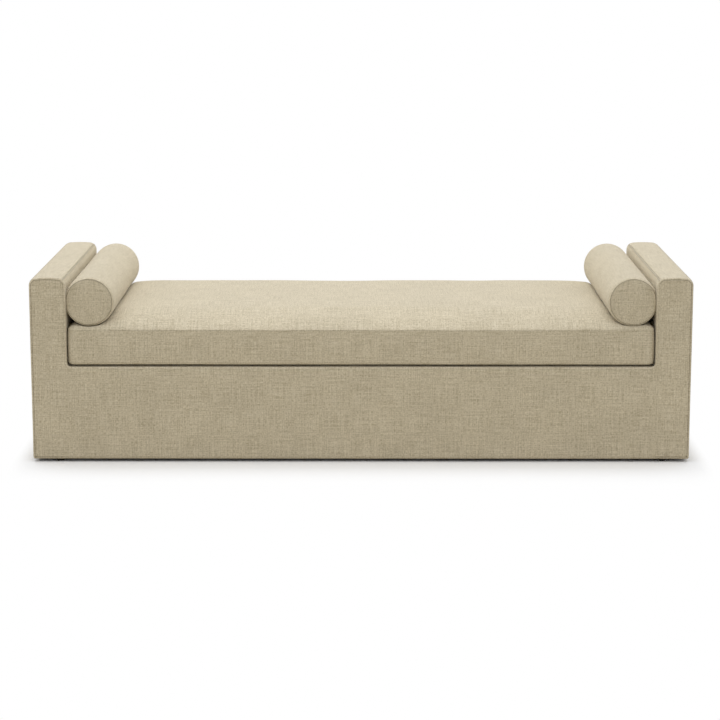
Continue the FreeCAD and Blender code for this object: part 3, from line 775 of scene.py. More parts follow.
@dataclass(frozen=True)
class Stuffing:
    """Stuffing that presses a panel outward from inside, worked out by cloth simulation."""

    pressure: float
    limit: float
    frames: int = 20
    quality: int = 6
    mass: float = 0.15
    stretch_stiffness: float = 25.0
    bending_stiffness: float = 2.0

    def blown(self, name: str, grid: np.ndarray, held: np.ndarray) -> np.ndarray:
        """Let the stuffing swell a panel where nothing holds it.

        Args:
            name: What the log calls the panel.
            grid: The panel's points, by row and column.
            held: Which points a seam or a neighbour holds.

        Returns:
            The swollen panel, no point of it moved by more than the limit.
        """
        rows, columns = held.shape
        mesh = bpy.data.meshes.new(f"{name}_blown")
        quads = grid_faces(rows, columns)
        mesh.from_pydata([tuple(point) for point in grid.reshape(-1, 3)], [], [tuple(quad) for quad in quads])
        panel = bpy.data.objects.new(f"{name}_blown", mesh)
        scene = bpy.context.scene
        scene.collection.objects.link(panel)
        group = panel.vertex_groups.new(name="held")
        group.add([int(i) for i in np.flatnonzero(held.ravel())], 1.0, "REPLACE")
        cloth = panel.modifiers.new("stuffing", "CLOTH")
        cloth.settings.quality = self.quality
        cloth.settings.mass = self.mass
        cloth.settings.tension_stiffness = self.stretch_stiffness
        cloth.settings.compression_stiffness = self.stretch_stiffness
        cloth.settings.bending_stiffness = self.bending_stiffness
        cloth.settings.use_pressure = True
        cloth.settings.uniform_pressure_force = self.pressure
        cloth.settings.vertex_group_mass = "held"
        cloth.settings.effector_weights.gravity = 0
        cloth.collision_settings.use_collision = False
        cloth.point_cache.frame_start, cloth.point_cache.frame_end = 1, self.frames
        for frame in range(1, self.frames + 1):
            scene.frame_set(frame)
        settled = panel.evaluated_get(bpy.context.evaluated_depsgraph_get())
        found = np.empty(rows * columns * 3)
        settled.data.vertices.foreach_get("co", found)
        moved = found.reshape(rows, columns, 3) - grid
        scene.frame_set(1)
        bpy.data.objects.remove(panel)
        bpy.data.meshes.remove(mesh)
        size = np.linalg.norm(moved, axis=-1, keepdims=True)
        # Soft limit, so that no flat step shows where it is reached
        kept = moved * (self.limit * np.tanh(size / self.limit) / np.maximum(size, 1e-9))
        LOG.info("%s: stuffing moved it %.1f mm at most, %.1f mm on average, kept to %.1f mm", name,
                 size.max() / MM, size.mean() / MM, np.linalg.norm(kept, axis=-1).max() / MM)
        return grid + kept


def joined(parts: Iterable[Shape]) -> Shape:
    """Put several panels into one mesh.

    Args:
        parts: Points, places on the flat cloth and faces of each.

    Returns:
        The same three of the whole.
    """
    points, flats, faces, start = [], [], [], 0
    for vertices, flat, quads in parts:
        points.append(vertices)
        flats.append(flat)
        faces.extend(tuple(int(i) + start for i in quad) for quad in quads)
        start += len(vertices)
    return np.concatenate(points), np.concatenate(flats), faces


def arc_points(centre: Sequence[float], radius: float, start: float, end: float, count: int) -> np.ndarray:
    """Points on an arc, from one angle to another in degrees."""
    angle = np.radians(np.linspace(start, end, count))
    return np.stack([centre[0] + radius * np.cos(angle), centre[1] + radius * np.sin(angle)], axis=-1)


def straight_points(start: Sequence[float], end: Sequence[float], step: float) -> np.ndarray:
    """Points between two others, both left out."""
    start, end = np.asarray(start, float), np.asarray(end, float)
    count = max(int(round(np.linalg.norm(end - start) / step)), 1)
    return start + (end - start) * (np.arange(1, count) / count)[:, None]


@dataclass
class ArmProfile:
    """Outline of an arm seen from the front, and of the whole front panel."""

    sizes: DivanSizes
    step: float = 10 * MM
    least_corner: float = 0.2 * MM

    def crown(self, inset: float) -> np.ndarray:
        """Top of the right arm from its inner face to its outer face, moved in by inset."""
        s = self.sizes
        middle = s.half_length - s.arm_width / 2
        corner_x = s.arm_width / 2 - s.corner_radius
        reach = s.crown_radius - s.corner_radius
        crown_z = s.arm_height - s.crown_radius
        corner_z = crown_z + math.sqrt(reach ** 2 - corner_x ** 2)
        lean = math.degrees(math.atan2(corner_x, corner_z - crown_z))
        radius = s.corner_radius - inset
        inner = arc_points((middle - corner_x, corner_z), radius, 180, 90 + lean, 14)
        top = arc_points((middle, crown_z), s.crown_radius - inset, 90 + lean, 90 - lean, 10)
        outer = arc_points((middle + corner_x, corner_z), radius, 90 - lean, 0, 14)
        return np.concatenate([inner, top[1:-1], outer])

    def outline(self, inset: float) -> np.ndarray:
        """Closed outline of the front panel, moved in by inset, the same number of points for any inset."""
        s = self.sizes
        crown = self.crown(inset)
        full = self.crown(0.0)
        step, low = self.step, s.underside
        recess = (s.arm_inner - s.recess_radius, s.base_height + s.recess_radius)
        foot = (s.half_length - s.foot_radius, low + s.foot_radius)

        def moved(points: np.ndarray, shift: tuple[float, float]) -> np.ndarray:
            """Points moved by the same way."""
            return points + np.array(shift)

        if inset < s.foot_radius:
            corner = arc_points(foot, max(s.foot_radius - inset, self.least_corner), 0, -90, 5)
        else:
            # Past its radius the corner is a point, kept as five so that every outline has as many
            corner = np.array([[s.half_length - inset, low + inset]]) + np.linspace(0, 1e-5, 5)[:, None]
        base_top = straight_points((0, s.base_height), (recess[0], s.base_height), step)
        inner_side = straight_points((s.arm_inner, recess[1]), full[0], step)
        outer_side = straight_points(full[-1], (s.half_length, foot[1]), step)
        bottom = straight_points((foot[0], low), (0, low), step)
        right = np.concatenate([
            np.array([[0, s.base_height - inset]]),
            moved(base_top, (0, -inset)),
            arc_points(recess, s.recess_radius + inset, -90, 0, 9),
            moved(inner_side, (inset, 0)),
            crown,
            moved(outer_side, (-inset, 0)),
            corner,
            moved(bottom, (0, inset)),
            np.array([[0, low + inset]]),
        ])
        left = right[1:-1][::-1] * np.array([-1, 1])
        return np.concatenate([right, left])


# Fixed covers of base and arms


@dataclass
class FixedCovers:
    """Linen panels stretched over the padded base and arms."""

    sizes: DivanSizes
    cloth: Material
    sewing: Sewing = field(default_factory=Sewing)
    panel_step: float = 20 * MM
    free_margin: float = 22 * MM
    strip_step: float = 18 * MM
    arm_step: float = 12 * MM
    hem_step: float = 8 * MM
    hem_bend: float = 4 * MM
    uneven: float = 0.5 * MM
    arm_uneven: float = 0.15 * MM
    swell_length: float = 260 * MM
    swell_start: float = 40 * MM
    seam_inset: float = 6.6 * MM
    # How much of the seam's line shows along the recess and the floor, and from how far in the panel is flat
    flat_share: float = 0.3
    flat_from: float = 14 * MM
    lip_gap: float = 1.5 * MM
    # The arms' inner panels start this far below the base's top, hidden by the lips
    arm_start: float = 14 * MM
    pucker_reach: float = 3 * MM
    # Steps away from the seam and how deep the cloth lies there
    groove: tuple[tuple[float, float], ...] = ((-1.1 * MM, 0.15 * MM), (-0.6 * MM, 0.7 * MM), (0.0, 1.5 * MM),
                                               (0.6 * MM, 0.6 * MM), (1.2 * MM, 0.0), (2.6 * MM, -0.2 * MM))

    def face_panel(self, side: int) -> Shape:
        """U-shaped panel over the front (side -1) or the back (side 1).

        Args:
            side: Which way along Y it faces.

        Returns:
            Points, places on the flat cloth and faces.
        """
        s, sew = self.sizes, self.sewing
        profile = ArmProfile(s)
        radius = s.edge_radius
        # Over the turned edge, down into the seam just inside it, and out to the flat of the panel
        turns = np.radians([0, 12, 26, 40, 54, 68, 80])
        rings = [(radius * (1 - math.cos(turn)), radius * math.sin(turn)) for turn in turns]
        rings += [(self.seam_inset + side_step, radius - drop) for side_step, drop in self.groove]
        rings += [(self.flat_from, radius)]
        loops = [profile.outline(inset) for inset, _ in rings]
        count = len(loops[0])
        wave = smooth_noise(np.stack([loops[0][:, 0], np.zeros(count), loops[0][:, 1]], axis=-1),
                            sew.pucker_pitch * 1.6, 11 + side)
        # The seam is drawn tight on the arms and lies almost flat along the recess and the floor
        shown = np.where(np.abs(loops[0][:, 0]) > s.arm_inner + 1 * MM, 1.0, self.flat_share)
        shown = np.mean([np.roll(shown, shift) for shift in (-2, -1, 0, 1, 2)], axis=0)
        points, faces = [], ring_faces(len(rings), count)
        for (inset, forward), loop in zip(rings, loops):
            near = sew.pucker * wave * math.exp(-abs(inset - self.seam_inset) / self.pucker_reach)
            sunk = (radius - forward) * (1 - shown) if inset > radius - 0.5 * MM else 0.0
            y = side * (s.seam_y + forward + near + sunk)
            points.append(np.stack([loop[:, 0], np.broadcast_to(y, count), loop[:, 1]], axis=-1))
        filled, inner_faces = self.fill(loops[-1])
        offset = (len(rings) - 1) * count
        middle = filled[count:]
        face_y = np.full(len(middle), side * (s.seam_y + radius))
        extra = np.stack([middle[:, 0], face_y, middle[:, 1]], axis=-1)
        free = np.minimum(self.distance_to(loops[-1], middle) / self.swell_start, 1)
        swell = smooth_noise(extra, self.swell_length, 31 + side) * free
        extra[:, 1] += side * self.uneven * swell
        points.append(extra)
        faces += [tuple(offset + i for i in face[::-1]) for face in inner_faces]
        if side < 0:
            faces = [face[::-1] for face in faces]
        vertices = np.concatenate(points)
        flat = np.zeros((len(vertices), 3))
        flat[:, :2] = vertices[:, [0, 2]] * np.array([1.0 if side < 0 else -1.0, 1.0])
        # Painted shade along the seam's groove, fainter where the seam lies flat
        for number, (inset, _) in enumerate(rings):
            crease = math.exp(-((inset - self.seam_inset) / sew.crease_half) ** 2)
            flat[number * count:(number + 1) * count, 2] = crease * shown
        return vertices, flat, faces

    def fill(self, loop: np.ndarray) -> tuple[np.ndarray, list]:
        """Fill a closed outline with even triangles.

        Args:
            loop: The outline.

        Returns:
            Its points followed by the new inner ones, and the faces.
        """
        s = self.sizes
        xs = np.arange(-s.half_length, s.half_length, self.panel_step) + self.panel_step / 2
        zs = np.arange(0, s.arm_height, self.panel_step) + self.panel_step / 2
        margin, inside = self.free_margin, []
        for x in xs:
            for z in zs:
                top = s.arm_height if abs(x) > s.arm_inner + margin else s.base_height
                if abs(x) < s.half_length - margin and s.underside + margin < z < top - margin:
                    inside.append((x, z))
        seeds = [Vector(p) for p in np.concatenate([loop, np.array(inside)])]
        count = len(loop)
        edges = [(i, (i + 1) % count) for i in range(count)]
        made = delaunay_2d_cdt(seeds, edges, [list(range(count))], 1, 1e-7)
        points = np.array([tuple(p) for p in made[0]])
        return points, [tuple(face) for face in made[2]]

    @staticmethod
    def distance_to(loop: np.ndarray, points: np.ndarray) -> np.ndarray:
        """Distance from each point to the nearest point of an outline."""
        return np.array([np.min(np.linalg.norm(loop - p, axis=1)) for p in points])

    def level_strip(self, x_half: float, y_span: Sequence[float], z: float, seed: int) -> ClothPanel:
        """Flat level panel that faces up, such as the lip under the cushion, or down where it is the fold."""
        s = self.sizes
        xs, ys = np.linspace(-x_half, x_half, 60), np.linspace(min(y_span), max(y_span), 4)
        grid = np.stack(np.broadcast_arrays(xs[:, None], ys[None, :], z), axis=-1)
        return ClothPanel(grid if z > s.underside else grid[::-1], xs + x_half, ys, (False,) * 4, self.sewing,
                          seed=seed, step=self.strip_step)

    def arm_path(self) -> tuple[np.ndarray, np.ndarray]:
        """Section of the right arm's cloth from its inner foot over the top to its outer foot.

        Returns:
            The points and their distances along it.
        """
        s = self.sizes
        crown = ArmProfile(s).crown(0.0)
        start, step, bend = (s.arm_inner, s.base_height - self.arm_start), self.arm_step, self.hem_bend
        low, bend_x = s.underside + bend, s.half_length - bend
        hem_end = (s.half_length - s.turn_under, s.underside)
        path = np.concatenate([
            [start],
            straight_points(start, crown[0], step),
            crown,
            straight_points(crown[-1], (s.half_length, low), step),
            arc_points((bend_x, low), bend, 0, -90, 6),
            straight_points((bend_x, s.underside), hem_end, self.hem_step),
        ])
        return path, run_along(path)

    def arm_panels(self) -> dict[str, ClothPanel]:
        """Inner, top and outer panel of the right arm."""
        s = self.sizes
        path, length = self.arm_path()
        top = np.flatnonzero(path[:, 1] > s.arm_height - s.corner_radius)
        inner_cut = np.interp(s.arm_inner + s.seam_in, path[top, 0], length[top])
        outer_cut = np.interp(s.half_length - s.seam_in, path[top, 0], length[top])
        cuts = {"inner_panel": (0.0, inner_cut, (False, True)),
                "top_strip": (inner_cut, outer_cut, (True, True)),
                "outer_panel": (outer_cut, length[-1], (True, False))}
        panels = {}
        for number, (name, (start, end, sewn)) in enumerate(cuts.items()):
            between = length[(length > start + 1e-6) & (length < end - 1e-6)]
            at = np.array([start, *between, end])
            xs, zs = np.interp(at, length, path[:, 0]), np.interp(at, length, path[:, 1])
            ys = np.linspace(-s.seam_y, s.seam_y, 40)
            grid = np.stack(np.broadcast_arrays(xs[:, None], ys[None, :], zs[:, None]), axis=-1)
            panels[name] = ClothPanel(grid, at, ys - ys[0], (*sewn, False, False), self.sewing,
                                      seed=50 + number, uneven=self.arm_uneven)
        return panels

    def build(self) -> None:
        """Make and place every fixed panel."""
        s = self.sizes
        lip_half, lip_y = s.arm_inner - self.lip_gap, s.half_depth - s.lip
        fold_half, fold_y = s.half_length - s.turn_under, s.half_depth - s.turn_under
        for side, label in ((-1, "front"), (1, "back")):
            near = side * s.seam_y
            lip = self.level_strip(lip_half, (near, side * lip_y), s.base_height, 70 + side)
            fold = self.level_strip(fold_half, (near, side * fold_y), s.underside, 80 + side)
            shape = joined([self.face_panel(side), lip.dense(), fold.dense()])
            stands_for = [f"{label}_cover"]
            stands_for += [f"{part}_{label}_pad" for part in ("base", "arm_left", "arm_right")]
            fitted(f"{label}_panel", shape, self.cloth, "base", stands_for)
        nodes = {"inner_panel": ["inner_cover"], "top_strip": ["top_cover"],
                 "outer_panel": ["outer_cover", "wrap_pad"]}
        for name, panel in self.arm_panels().items():
            vertices, flat, faces = panel.dense()
            for side in Side:
                mirror = np.array([side.value, 1, 1])
                arm = f"arm_{side.name.lower()}"
                shape = vertices * mirror, flat * mirror, faces if side is Side.RIGHT else faces[:, ::-1]
                fitted(f"{arm}_{name}", shape, self.cloth, "base",
                       [f"{arm}_{node}" for node in nodes[name]])


# Seat cushion


def rounded_corner(x: np.ndarray, y: np.ndarray, half_x: float, half_y: float, radius: float) -> tuple:
    """Move the points of a rectangle so that its corners become round.

    Args:
        x: Places along the length, from the middle.
        y: Places along the depth, from the middle.
        half_x: Half the length.
        half_y: Half the depth.
        radius: Radius of the corners.

    Returns:
        The moved places.
    """
    a = np.clip((np.abs(x) - (half_x - radius)) / radius, 0, 1)
    b = np.clip((np.abs(y) - (half_y - radius)) / radius, 0, 1)
    inside = (a > 0) & (b > 0)
    new_a, new_b = a * np.sqrt(1 - b ** 2 / 2), b * np.sqrt(1 - a ** 2 / 2)
    moved_x = np.where(inside, np.sign(x) * (half_x - radius + radius * new_a), x)
    moved_y = np.where(inside, np.sign(y) * (half_y - radius + radius * new_b), y)
    return moved_x, moved_y


def graded(length: float, step: float, fine: Sequence[float]) -> np.ndarray:
    """Distances from 0 to length, close together near both ends."""
    inner = length - 2 * fine[-1]
    count = max(int(round(inner / step)), 1)
    middle = fine[-1] + inner * np.arange(1, count) / count
    return np.array([*fine, *middle, *[length - d for d in fine[::-1]]])


@dataclass
class SeatCushion:
    """Loose boxed cushion: crowned top, boxing and bottom, sewn together round both edges."""

    sizes: DivanSizes
    cloth: Material
    half_length: float = 948.5 * MM
    front: float = -430 * MM
    back: float = 424 * MM
    bottom: float = 320 * MM
    bottom_seam: float = 328 * MM
    top_seam: float = 433 * MM
    roll_rise: float = 14 * MM
    roll_in: float = 15 * MM
    crown: float = 44.5 * MM
    crown_run: float = 60 * MM
    plan_radius: float = 22 * MM
    foot_in: float = 10 * MM
    seam_back: float = 1.4 * MM
    puff: float = 1.6 * MM
    hollow_gap: float = 0.9 * MM
    hollow_softness: float = 5 * MM
    hollow_reach: float = 12 * MM
    stuffing: Stuffing = Stuffing(pressure=1.0, limit=3 * MM)
    pressed_least: float = 0.4 * MM
    top_uneven: float = 0.8 * MM
    bottom_uneven: float = 0.2 * MM
    step: float = 14 * MM
    # The cushion's seams take only a faint painted crease shade
    sewing: Sewing = field(default_factory=lambda: Sewing(roll=0.8 * MM, tuck=0.9 * MM, ridge=0.3 * MM,
                                                           crease_shade_weight=0.35))
    fine: tuple[float, ...] = (0.0, 2 * MM, 4.5 * MM, 8 * MM, 12 * MM, 17 * MM, 24 * MM)

    @property
    def middle_y(self) -> float:
        """Middle of the cushion's depth."""
        return (self.front + self.back) / 2

    @property
    def half_depth(self) -> float:
        """Half the cushion's depth."""
        return (self.back - self.front) / 2

    def edge_distance(self, x: np.ndarray, y: np.ndarray) -> np.ndarray:
        """Distance in from the cushion's rounded outline.

        Args:
            x: Places along the length.
            y: Places along the depth, from the cushion's middle.

        Returns:
            The distances.
        """
        dx, dy, r = self.half_length - np.abs(x), self.half_depth - np.abs(y), self.plan_radius
        corner = (dx < r) & (dy < r)
        rounded = r - np.hypot(r - dx, r - dy)
        return np.maximum(np.where(corner, rounded, np.minimum(dx, dy)), 0)

    def top_height(self, x: np.ndarray, y: np.ndarray) -> np.ndarray:
        """Height of the crowned top before the bolsters press into it."""
        dx, dy = self.half_length - np.abs(x), self.half_depth - np.abs(y)
        near = np.clip(self.edge_distance(x, y) / self.roll_in, 0, 1)
        rolled = self.roll_rise * np.sqrt(1 - (1 - near) ** 2)
        share_x = 1 - np.exp(-np.maximum(dx - self.roll_in, 0) / self.crown_run)
        share_y = 1 - np.exp(-np.maximum(dy - self.roll_in, 0) / self.crown_run)
        return self.top_seam + rolled + self.crown * share_x * share_y

    def pressed(self, points: np.ndarray) -> np.ndarray:
        """Push points down out of both bolsters, with a soft edge to the hollow.

        Args:
            points: Places on the cushion's top.

        Returns:
            The same places, moved.
        """
        s = self.sizes
        turned = np.clip((np.abs(points[..., 1]) - s.bolster_half) / s.bolster_turn + 1, 0, 1)
        drawn_in = (s.bolster_radius - s.bolster_end_radius) * (1 - np.sqrt(1 - turned ** 2))
        radius = s.bolster_radius + self.hollow_gap - drawn_in
        off = np.abs(np.abs(points[..., 0]) - s.bolster_x)
        under = s.bolster_z - np.sqrt(np.maximum(radius ** 2 - off ** 2, 0))
        soft = self.hollow_softness
        gap = np.clip(0.5 + 0.5 * (points[..., 2] - under) / soft, 0, 1)
        lowered = points[..., 2] * (1 - gap) + under * gap - soft * gap * (1 - gap)
        out = points.copy()
        near = off < radius + self.hollow_reach
        out[..., 2] = np.where(near, np.minimum(points[..., 2], lowered), points[..., 2])
        return out

    def side_loop(self) -> np.ndarray:
        """Outline from above, from the back left corner round the front to the back right one."""
        hx, hy, r = self.half_length, self.half_depth, self.plan_radius
        corner_x, corner_y = hx - r, hy - r
        points = np.concatenate([
            arc_points((-corner_x, corner_y), r, 135, 180, 5),
            straight_points((-hx, corner_y), (-hx, -corner_y), self.step),
            arc_points((-corner_x, -corner_y), r, 180, 270, 9),
            straight_points((-corner_x, -hy), (corner_x, -hy), self.step),
            arc_points((corner_x, -corner_y), r, 270, 360, 9),
            straight_points((hx, -corner_y), (hx, corner_y), self.step),
            arc_points((corner_x, corner_y), r, 0, 45, 5),
        ])
        return points

    def back_loop(self) -> np.ndarray:
        """Outline along the back, from the back right corner to the back left one."""
        hx, hy, r = self.half_length, self.half_depth, self.plan_radius
        corner_x, corner_y = hx - r, hy - r
        points = np.concatenate([
            arc_points((corner_x, corner_y), r, 45, 90, 5),
            straight_points((corner_x, hy), (-corner_x, hy), self.step),
            arc_points((-corner_x, corner_y), r, 90, 135, 5),
        ])
        return points

    def boxing(self, loop: np.ndarray, seed: int) -> ClothPanel:
        """Upright panel along one part of the outline."""
        lengths = run_along(loop)
        heights = np.linspace(self.bottom_seam, self.top_seam, 12)
        share = (heights - heights[0]) / (heights[-1] - heights[0])
        puff = self.puff * np.sin(math.pi * share)
        core = np.array([self.half_length - self.plan_radius, self.half_depth - self.plan_radius])
        normal = loop - np.clip(loop, -core, core)
        normal /= np.maximum(np.linalg.norm(normal, axis=1, keepdims=True), 1e-9)
        grid = np.zeros((len(loop), len(heights), 3))
        grid[..., :2] = loop[:, None] + normal[:, None] * (puff - self.seam_back)[:, None]
        grid[..., 1] += self.middle_y
        grid[..., 2] = heights
        return ClothPanel(grid, lengths, heights - heights[0], (True,) * 4, self.sewing, seed=seed,
                          texture_origin=(-lengths[-1] / 2, 0.0), step=self.step)

    def run_in(self, half: float, reach: float, rise: float) -> tuple[np.ndarray, np.ndarray]:
        """Rows of a panel that curves over at both ends.

        Args:
            half: Half the panel's span, seen from above.
            reach: How far in from its edge it curves.
            rise: How far it curves up or down.

        Returns:
            The rows' distances along the cloth, and their places across the span from its middle.
        """
        arc = math.pi / 2 * math.sqrt((reach ** 2 + rise ** 2) / 2)
        along = graded(2 * (half - reach + arc), self.step, self.fine)
        near = np.minimum(along, along[-1] - along)
        from_edge = np.where(near < arc, reach * (1 - np.cos(math.pi / 2 * np.minimum(near / arc, 1))),
                             reach + near - arc)
        return along, np.sign(along - along[-1] / 2) * (half - from_edge)

    def level_panel(self, top: bool, seed: int) -> ClothPanel:
        """Top or bottom panel."""
        foot = self.foot_in, self.bottom_seam - self.bottom
        reach, rise = (self.roll_in, self.roll_rise) if top else foot
        u, across = self.run_in(self.half_length, reach, rise)
        v, deep = self.run_in(self.half_depth, reach, rise)
        x, y = np.broadcast_arrays(across[:, None], deep[None, :])
        x, y = rounded_corner(x, y, self.half_length, self.half_depth, self.plan_radius)
        place_x = x * (1 - self.seam_back / self.half_length)
        place_y = y * (1 - self.seam_back / self.half_depth) + self.middle_y
        if top:
            form = np.stack([place_x, place_y, self.top_height(x, y)], axis=-1)
            grid = self.pressed(form)
            held = form[..., 2] - grid[..., 2] > self.pressed_least
            held[[0, 1, -2, -1], :] = held[:, [0, 1, -2, -1]] = True
            grid = self.pressed(self.stuffing.blown("seat_top", grid, held))
        else:
            near = np.clip(self.edge_distance(x, y) / self.foot_in, 0, 1)
            z = self.bottom_seam - (self.bottom_seam - self.bottom) * np.sqrt(1 - (1 - near) ** 2)
            grid = np.stack([place_x, place_y, z], axis=-1)[::-1]
        return ClothPanel(grid, u, v, (True,) * 4, self.sewing, seed=seed, step=self.step,
                          texture_origin=(-self.half_length, -self.half_depth),
                          uneven=self.top_uneven if top else self.bottom_uneven)

    def build(self) -> None:
        """Make the cushion's cover."""
        panels = [self.level_panel(True, 101), self.level_panel(False, 102),
                  self.boxing(self.side_loop(), 103), self.boxing(self.back_loop(), 104)]
        fitted("cushion_cover", joined(panel.dense() for panel in panels), self.cloth, "seat_cushion",
               ("seat_top_panel", "seat_boxing", "seat_bottom_panel", "seat_wrap", "seat_core"))


# Bolsters


@dataclass
class Bolster:
    """Round bolster: one barrel panel closed by a zip on its hidden lower side, and two end discs.

    The barrel is stuffed fuller than its discs, so it turns in to them, and the arm presses one side flat.
    """

    sizes: DivanSizes
    side: Side
    cloth: Material
    seam_half: float = 414.5 * MM
    turn_in: float = 26 * MM
    dome: float = 2.0 * MM
    flat_softness: float = 2.5 * MM
    flat_margin: float = 2 * MM
    # Below this height over its axis the bolster lies in the seat's hollow, so the stuffing can't swell it
    free_above: float = 15 * MM
    disc_in: float = 0.2 * MM
    barrel_step: float = 8 * MM
    disc_step: float = 6 * MM
    zip_angle: float = -45.0
    stuffing: Stuffing = Stuffing(pressure=40.0, limit=1.2 * MM)
    sewing: Sewing = field(default_factory=lambda: Sewing(roll=1.8 * MM, tuck=3.0 * MM, ridge=0.25 * MM))

    def flattened(self, points: np.ndarray) -> np.ndarray:
        """Press the side that touches the arm flat, with a soft start to the flat."""
        limit, soft = self.sizes.bolster_flat - self.sizes.bolster_x, self.flat_softness
        x = points[..., 0]
        mix = np.clip(0.5 + 0.5 * (x - limit) / soft, 0, 1)
        out = points.copy()
        out[..., 0] = x * (1 - mix) + limit * mix - soft * mix * (1 - mix)
        return out

    def barrel(self) -> ClothPanel:
        """Panel round the barrel, from the zip round to the zip."""
        s = self.sizes
        turn = np.radians(np.linspace(self.zip_angle, self.zip_angle + 360, 97))
        phase = np.radians(np.linspace(0, 90, 9))
        straight = self.seam_half - self.turn_in
        start_y = -straight - self.turn_in * np.cos(phase)
        start_r = s.bolster_end_radius + (s.bolster_radius - s.bolster_end_radius) * np.sin(phase)
        middle = np.linspace(-straight, straight, 53)[1:-1]
        ys = np.concatenate([start_y, middle, -start_y[::-1]])
        radii = np.concatenate([start_r, np.full(len(middle), s.bolster_radius), start_r[::-1]])
        along = run_along(np.stack([ys, radii], axis=-1))
        grid = self.flattened(np.stack(np.broadcast_arrays(
            np.cos(turn)[:, None] * radii, ys[None, :], np.sin(turn)[:, None] * radii), axis=-1))
        flat_x = s.bolster_flat - s.bolster_x - self.flat_margin
        held = (grid[..., 2] < self.free_above) | (grid[..., 0] > flat_x)
        held[:, [0, 1, -2, -1]] = True
        grid = self.stuffing.blown(f"bolster_{self.side.name.lower()}", grid[:, ::-1], held[:, ::-1])[:, ::-1]
        around = s.bolster_radius * (turn - turn[0])
        return ClothPanel(grid[:, ::-1], around, along, (True,) * 4, self.sewing,
                          seed=201 + self.side.value, step=self.barrel_step, uneven=0.5 * MM)

    def disc(self, end: int) -> ClothPanel:
        """Round end panel, at the front (-1) or the back (1)."""
        radius = self.sizes.bolster_end_radius - self.disc_in
        u = graded(2 * radius, 8 * MM, (0.0, 2 * MM, 5 * MM, 9 * MM))
        a, b = np.meshgrid((u - radius) / radius, (u - radius) / radius, indexing="ij")
        x, z = a * np.sqrt(1 - b ** 2 / 2), b * np.sqrt(1 - a ** 2 / 2)
        out = self.dome * np.sqrt(np.clip(1 - (x ** 2 + z ** 2) ** 2, 0, 1))
        grid = np.stack([x * radius, end * (self.seam_half + out), z * radius], axis=-1)
        if end > 0:
            grid = grid[::-1]
        return ClothPanel(self.flattened(grid), u, u, (True,) * 4, self.sewing,
                          seed=211 + end + self.side.value, step=self.disc_step, uneven=0.25 * MM,
                          texture_origin=(0.3 * end, 0.1))

    def build(self) -> None:
        """Make the bolster's cover in its place, mirrored for the left one."""
        s = self.sizes
        vertices, flat, faces = joined([self.barrel().dense(), self.disc(-1).dense(), self.disc(1).dense()])
        vertices = (vertices + np.array([s.bolster_x, 0, s.bolster_z])) * np.array([self.side.value, 1, 1])
        if self.side is Side.LEFT:
            faces = [face[::-1] for face in faces]
        body = f"bolster_{self.side.name.lower()}"
        fitted(f"{body}_cover", (vertices, flat, faces), self.cloth, body,
               (f"{body}_barrel", f"{body}_end_discs", f"{body}_core"))


# Zips


def lofted(rings: np.ndarray) -> tuple[np.ndarray, list]:
    """Closed skin over a row of rings, with both ends filled.

    Args:
        rings: Points, by ring and by place round the ring.

    Returns:
        The points and the faces.
    """
    count, around = rings.shape[:2]
    faces = ring_faces(count, around)
    faces.append(tuple(range(around))[::-1])
    faces.append(tuple((count - 1) * around + i for i in range(around)))
    return rings.reshape(-1, 3), faces


@dataclass(frozen=True)
class ZipPlace:
    """Where a zip lies, from its own axes: along it, across it and out from the cloth.

    A flat zip has no bend radius. One that is bent is curved across its width round that radius.
    """

    origin: tuple[float, float, float]
    along: tuple[float, float, float]
    outward: tuple[float, float, float]
    bend: float = 0.0

    def put(self, points: np.ndarray) -> np.ndarray:
        """Move points from the zip's own axes to the frame of the model.

        Args:
            points: Along, across and out, one row each.

        Returns:
            The same points in the frame of the model.
        """
        along, outward = np.array(self.along), np.array(self.outward)
        across = np.cross(along, outward)
        run, side, out = points[..., 0:1], points[..., 1:2], points[..., 2:3]
        if self.bend:
            turn = side / self.bend
            side, out = (self.bend + out) * np.sin(turn), (self.bend + out) * np.cos(turn) - self.bend
        return np.array(self.origin) + run * along + side * across + out * outward


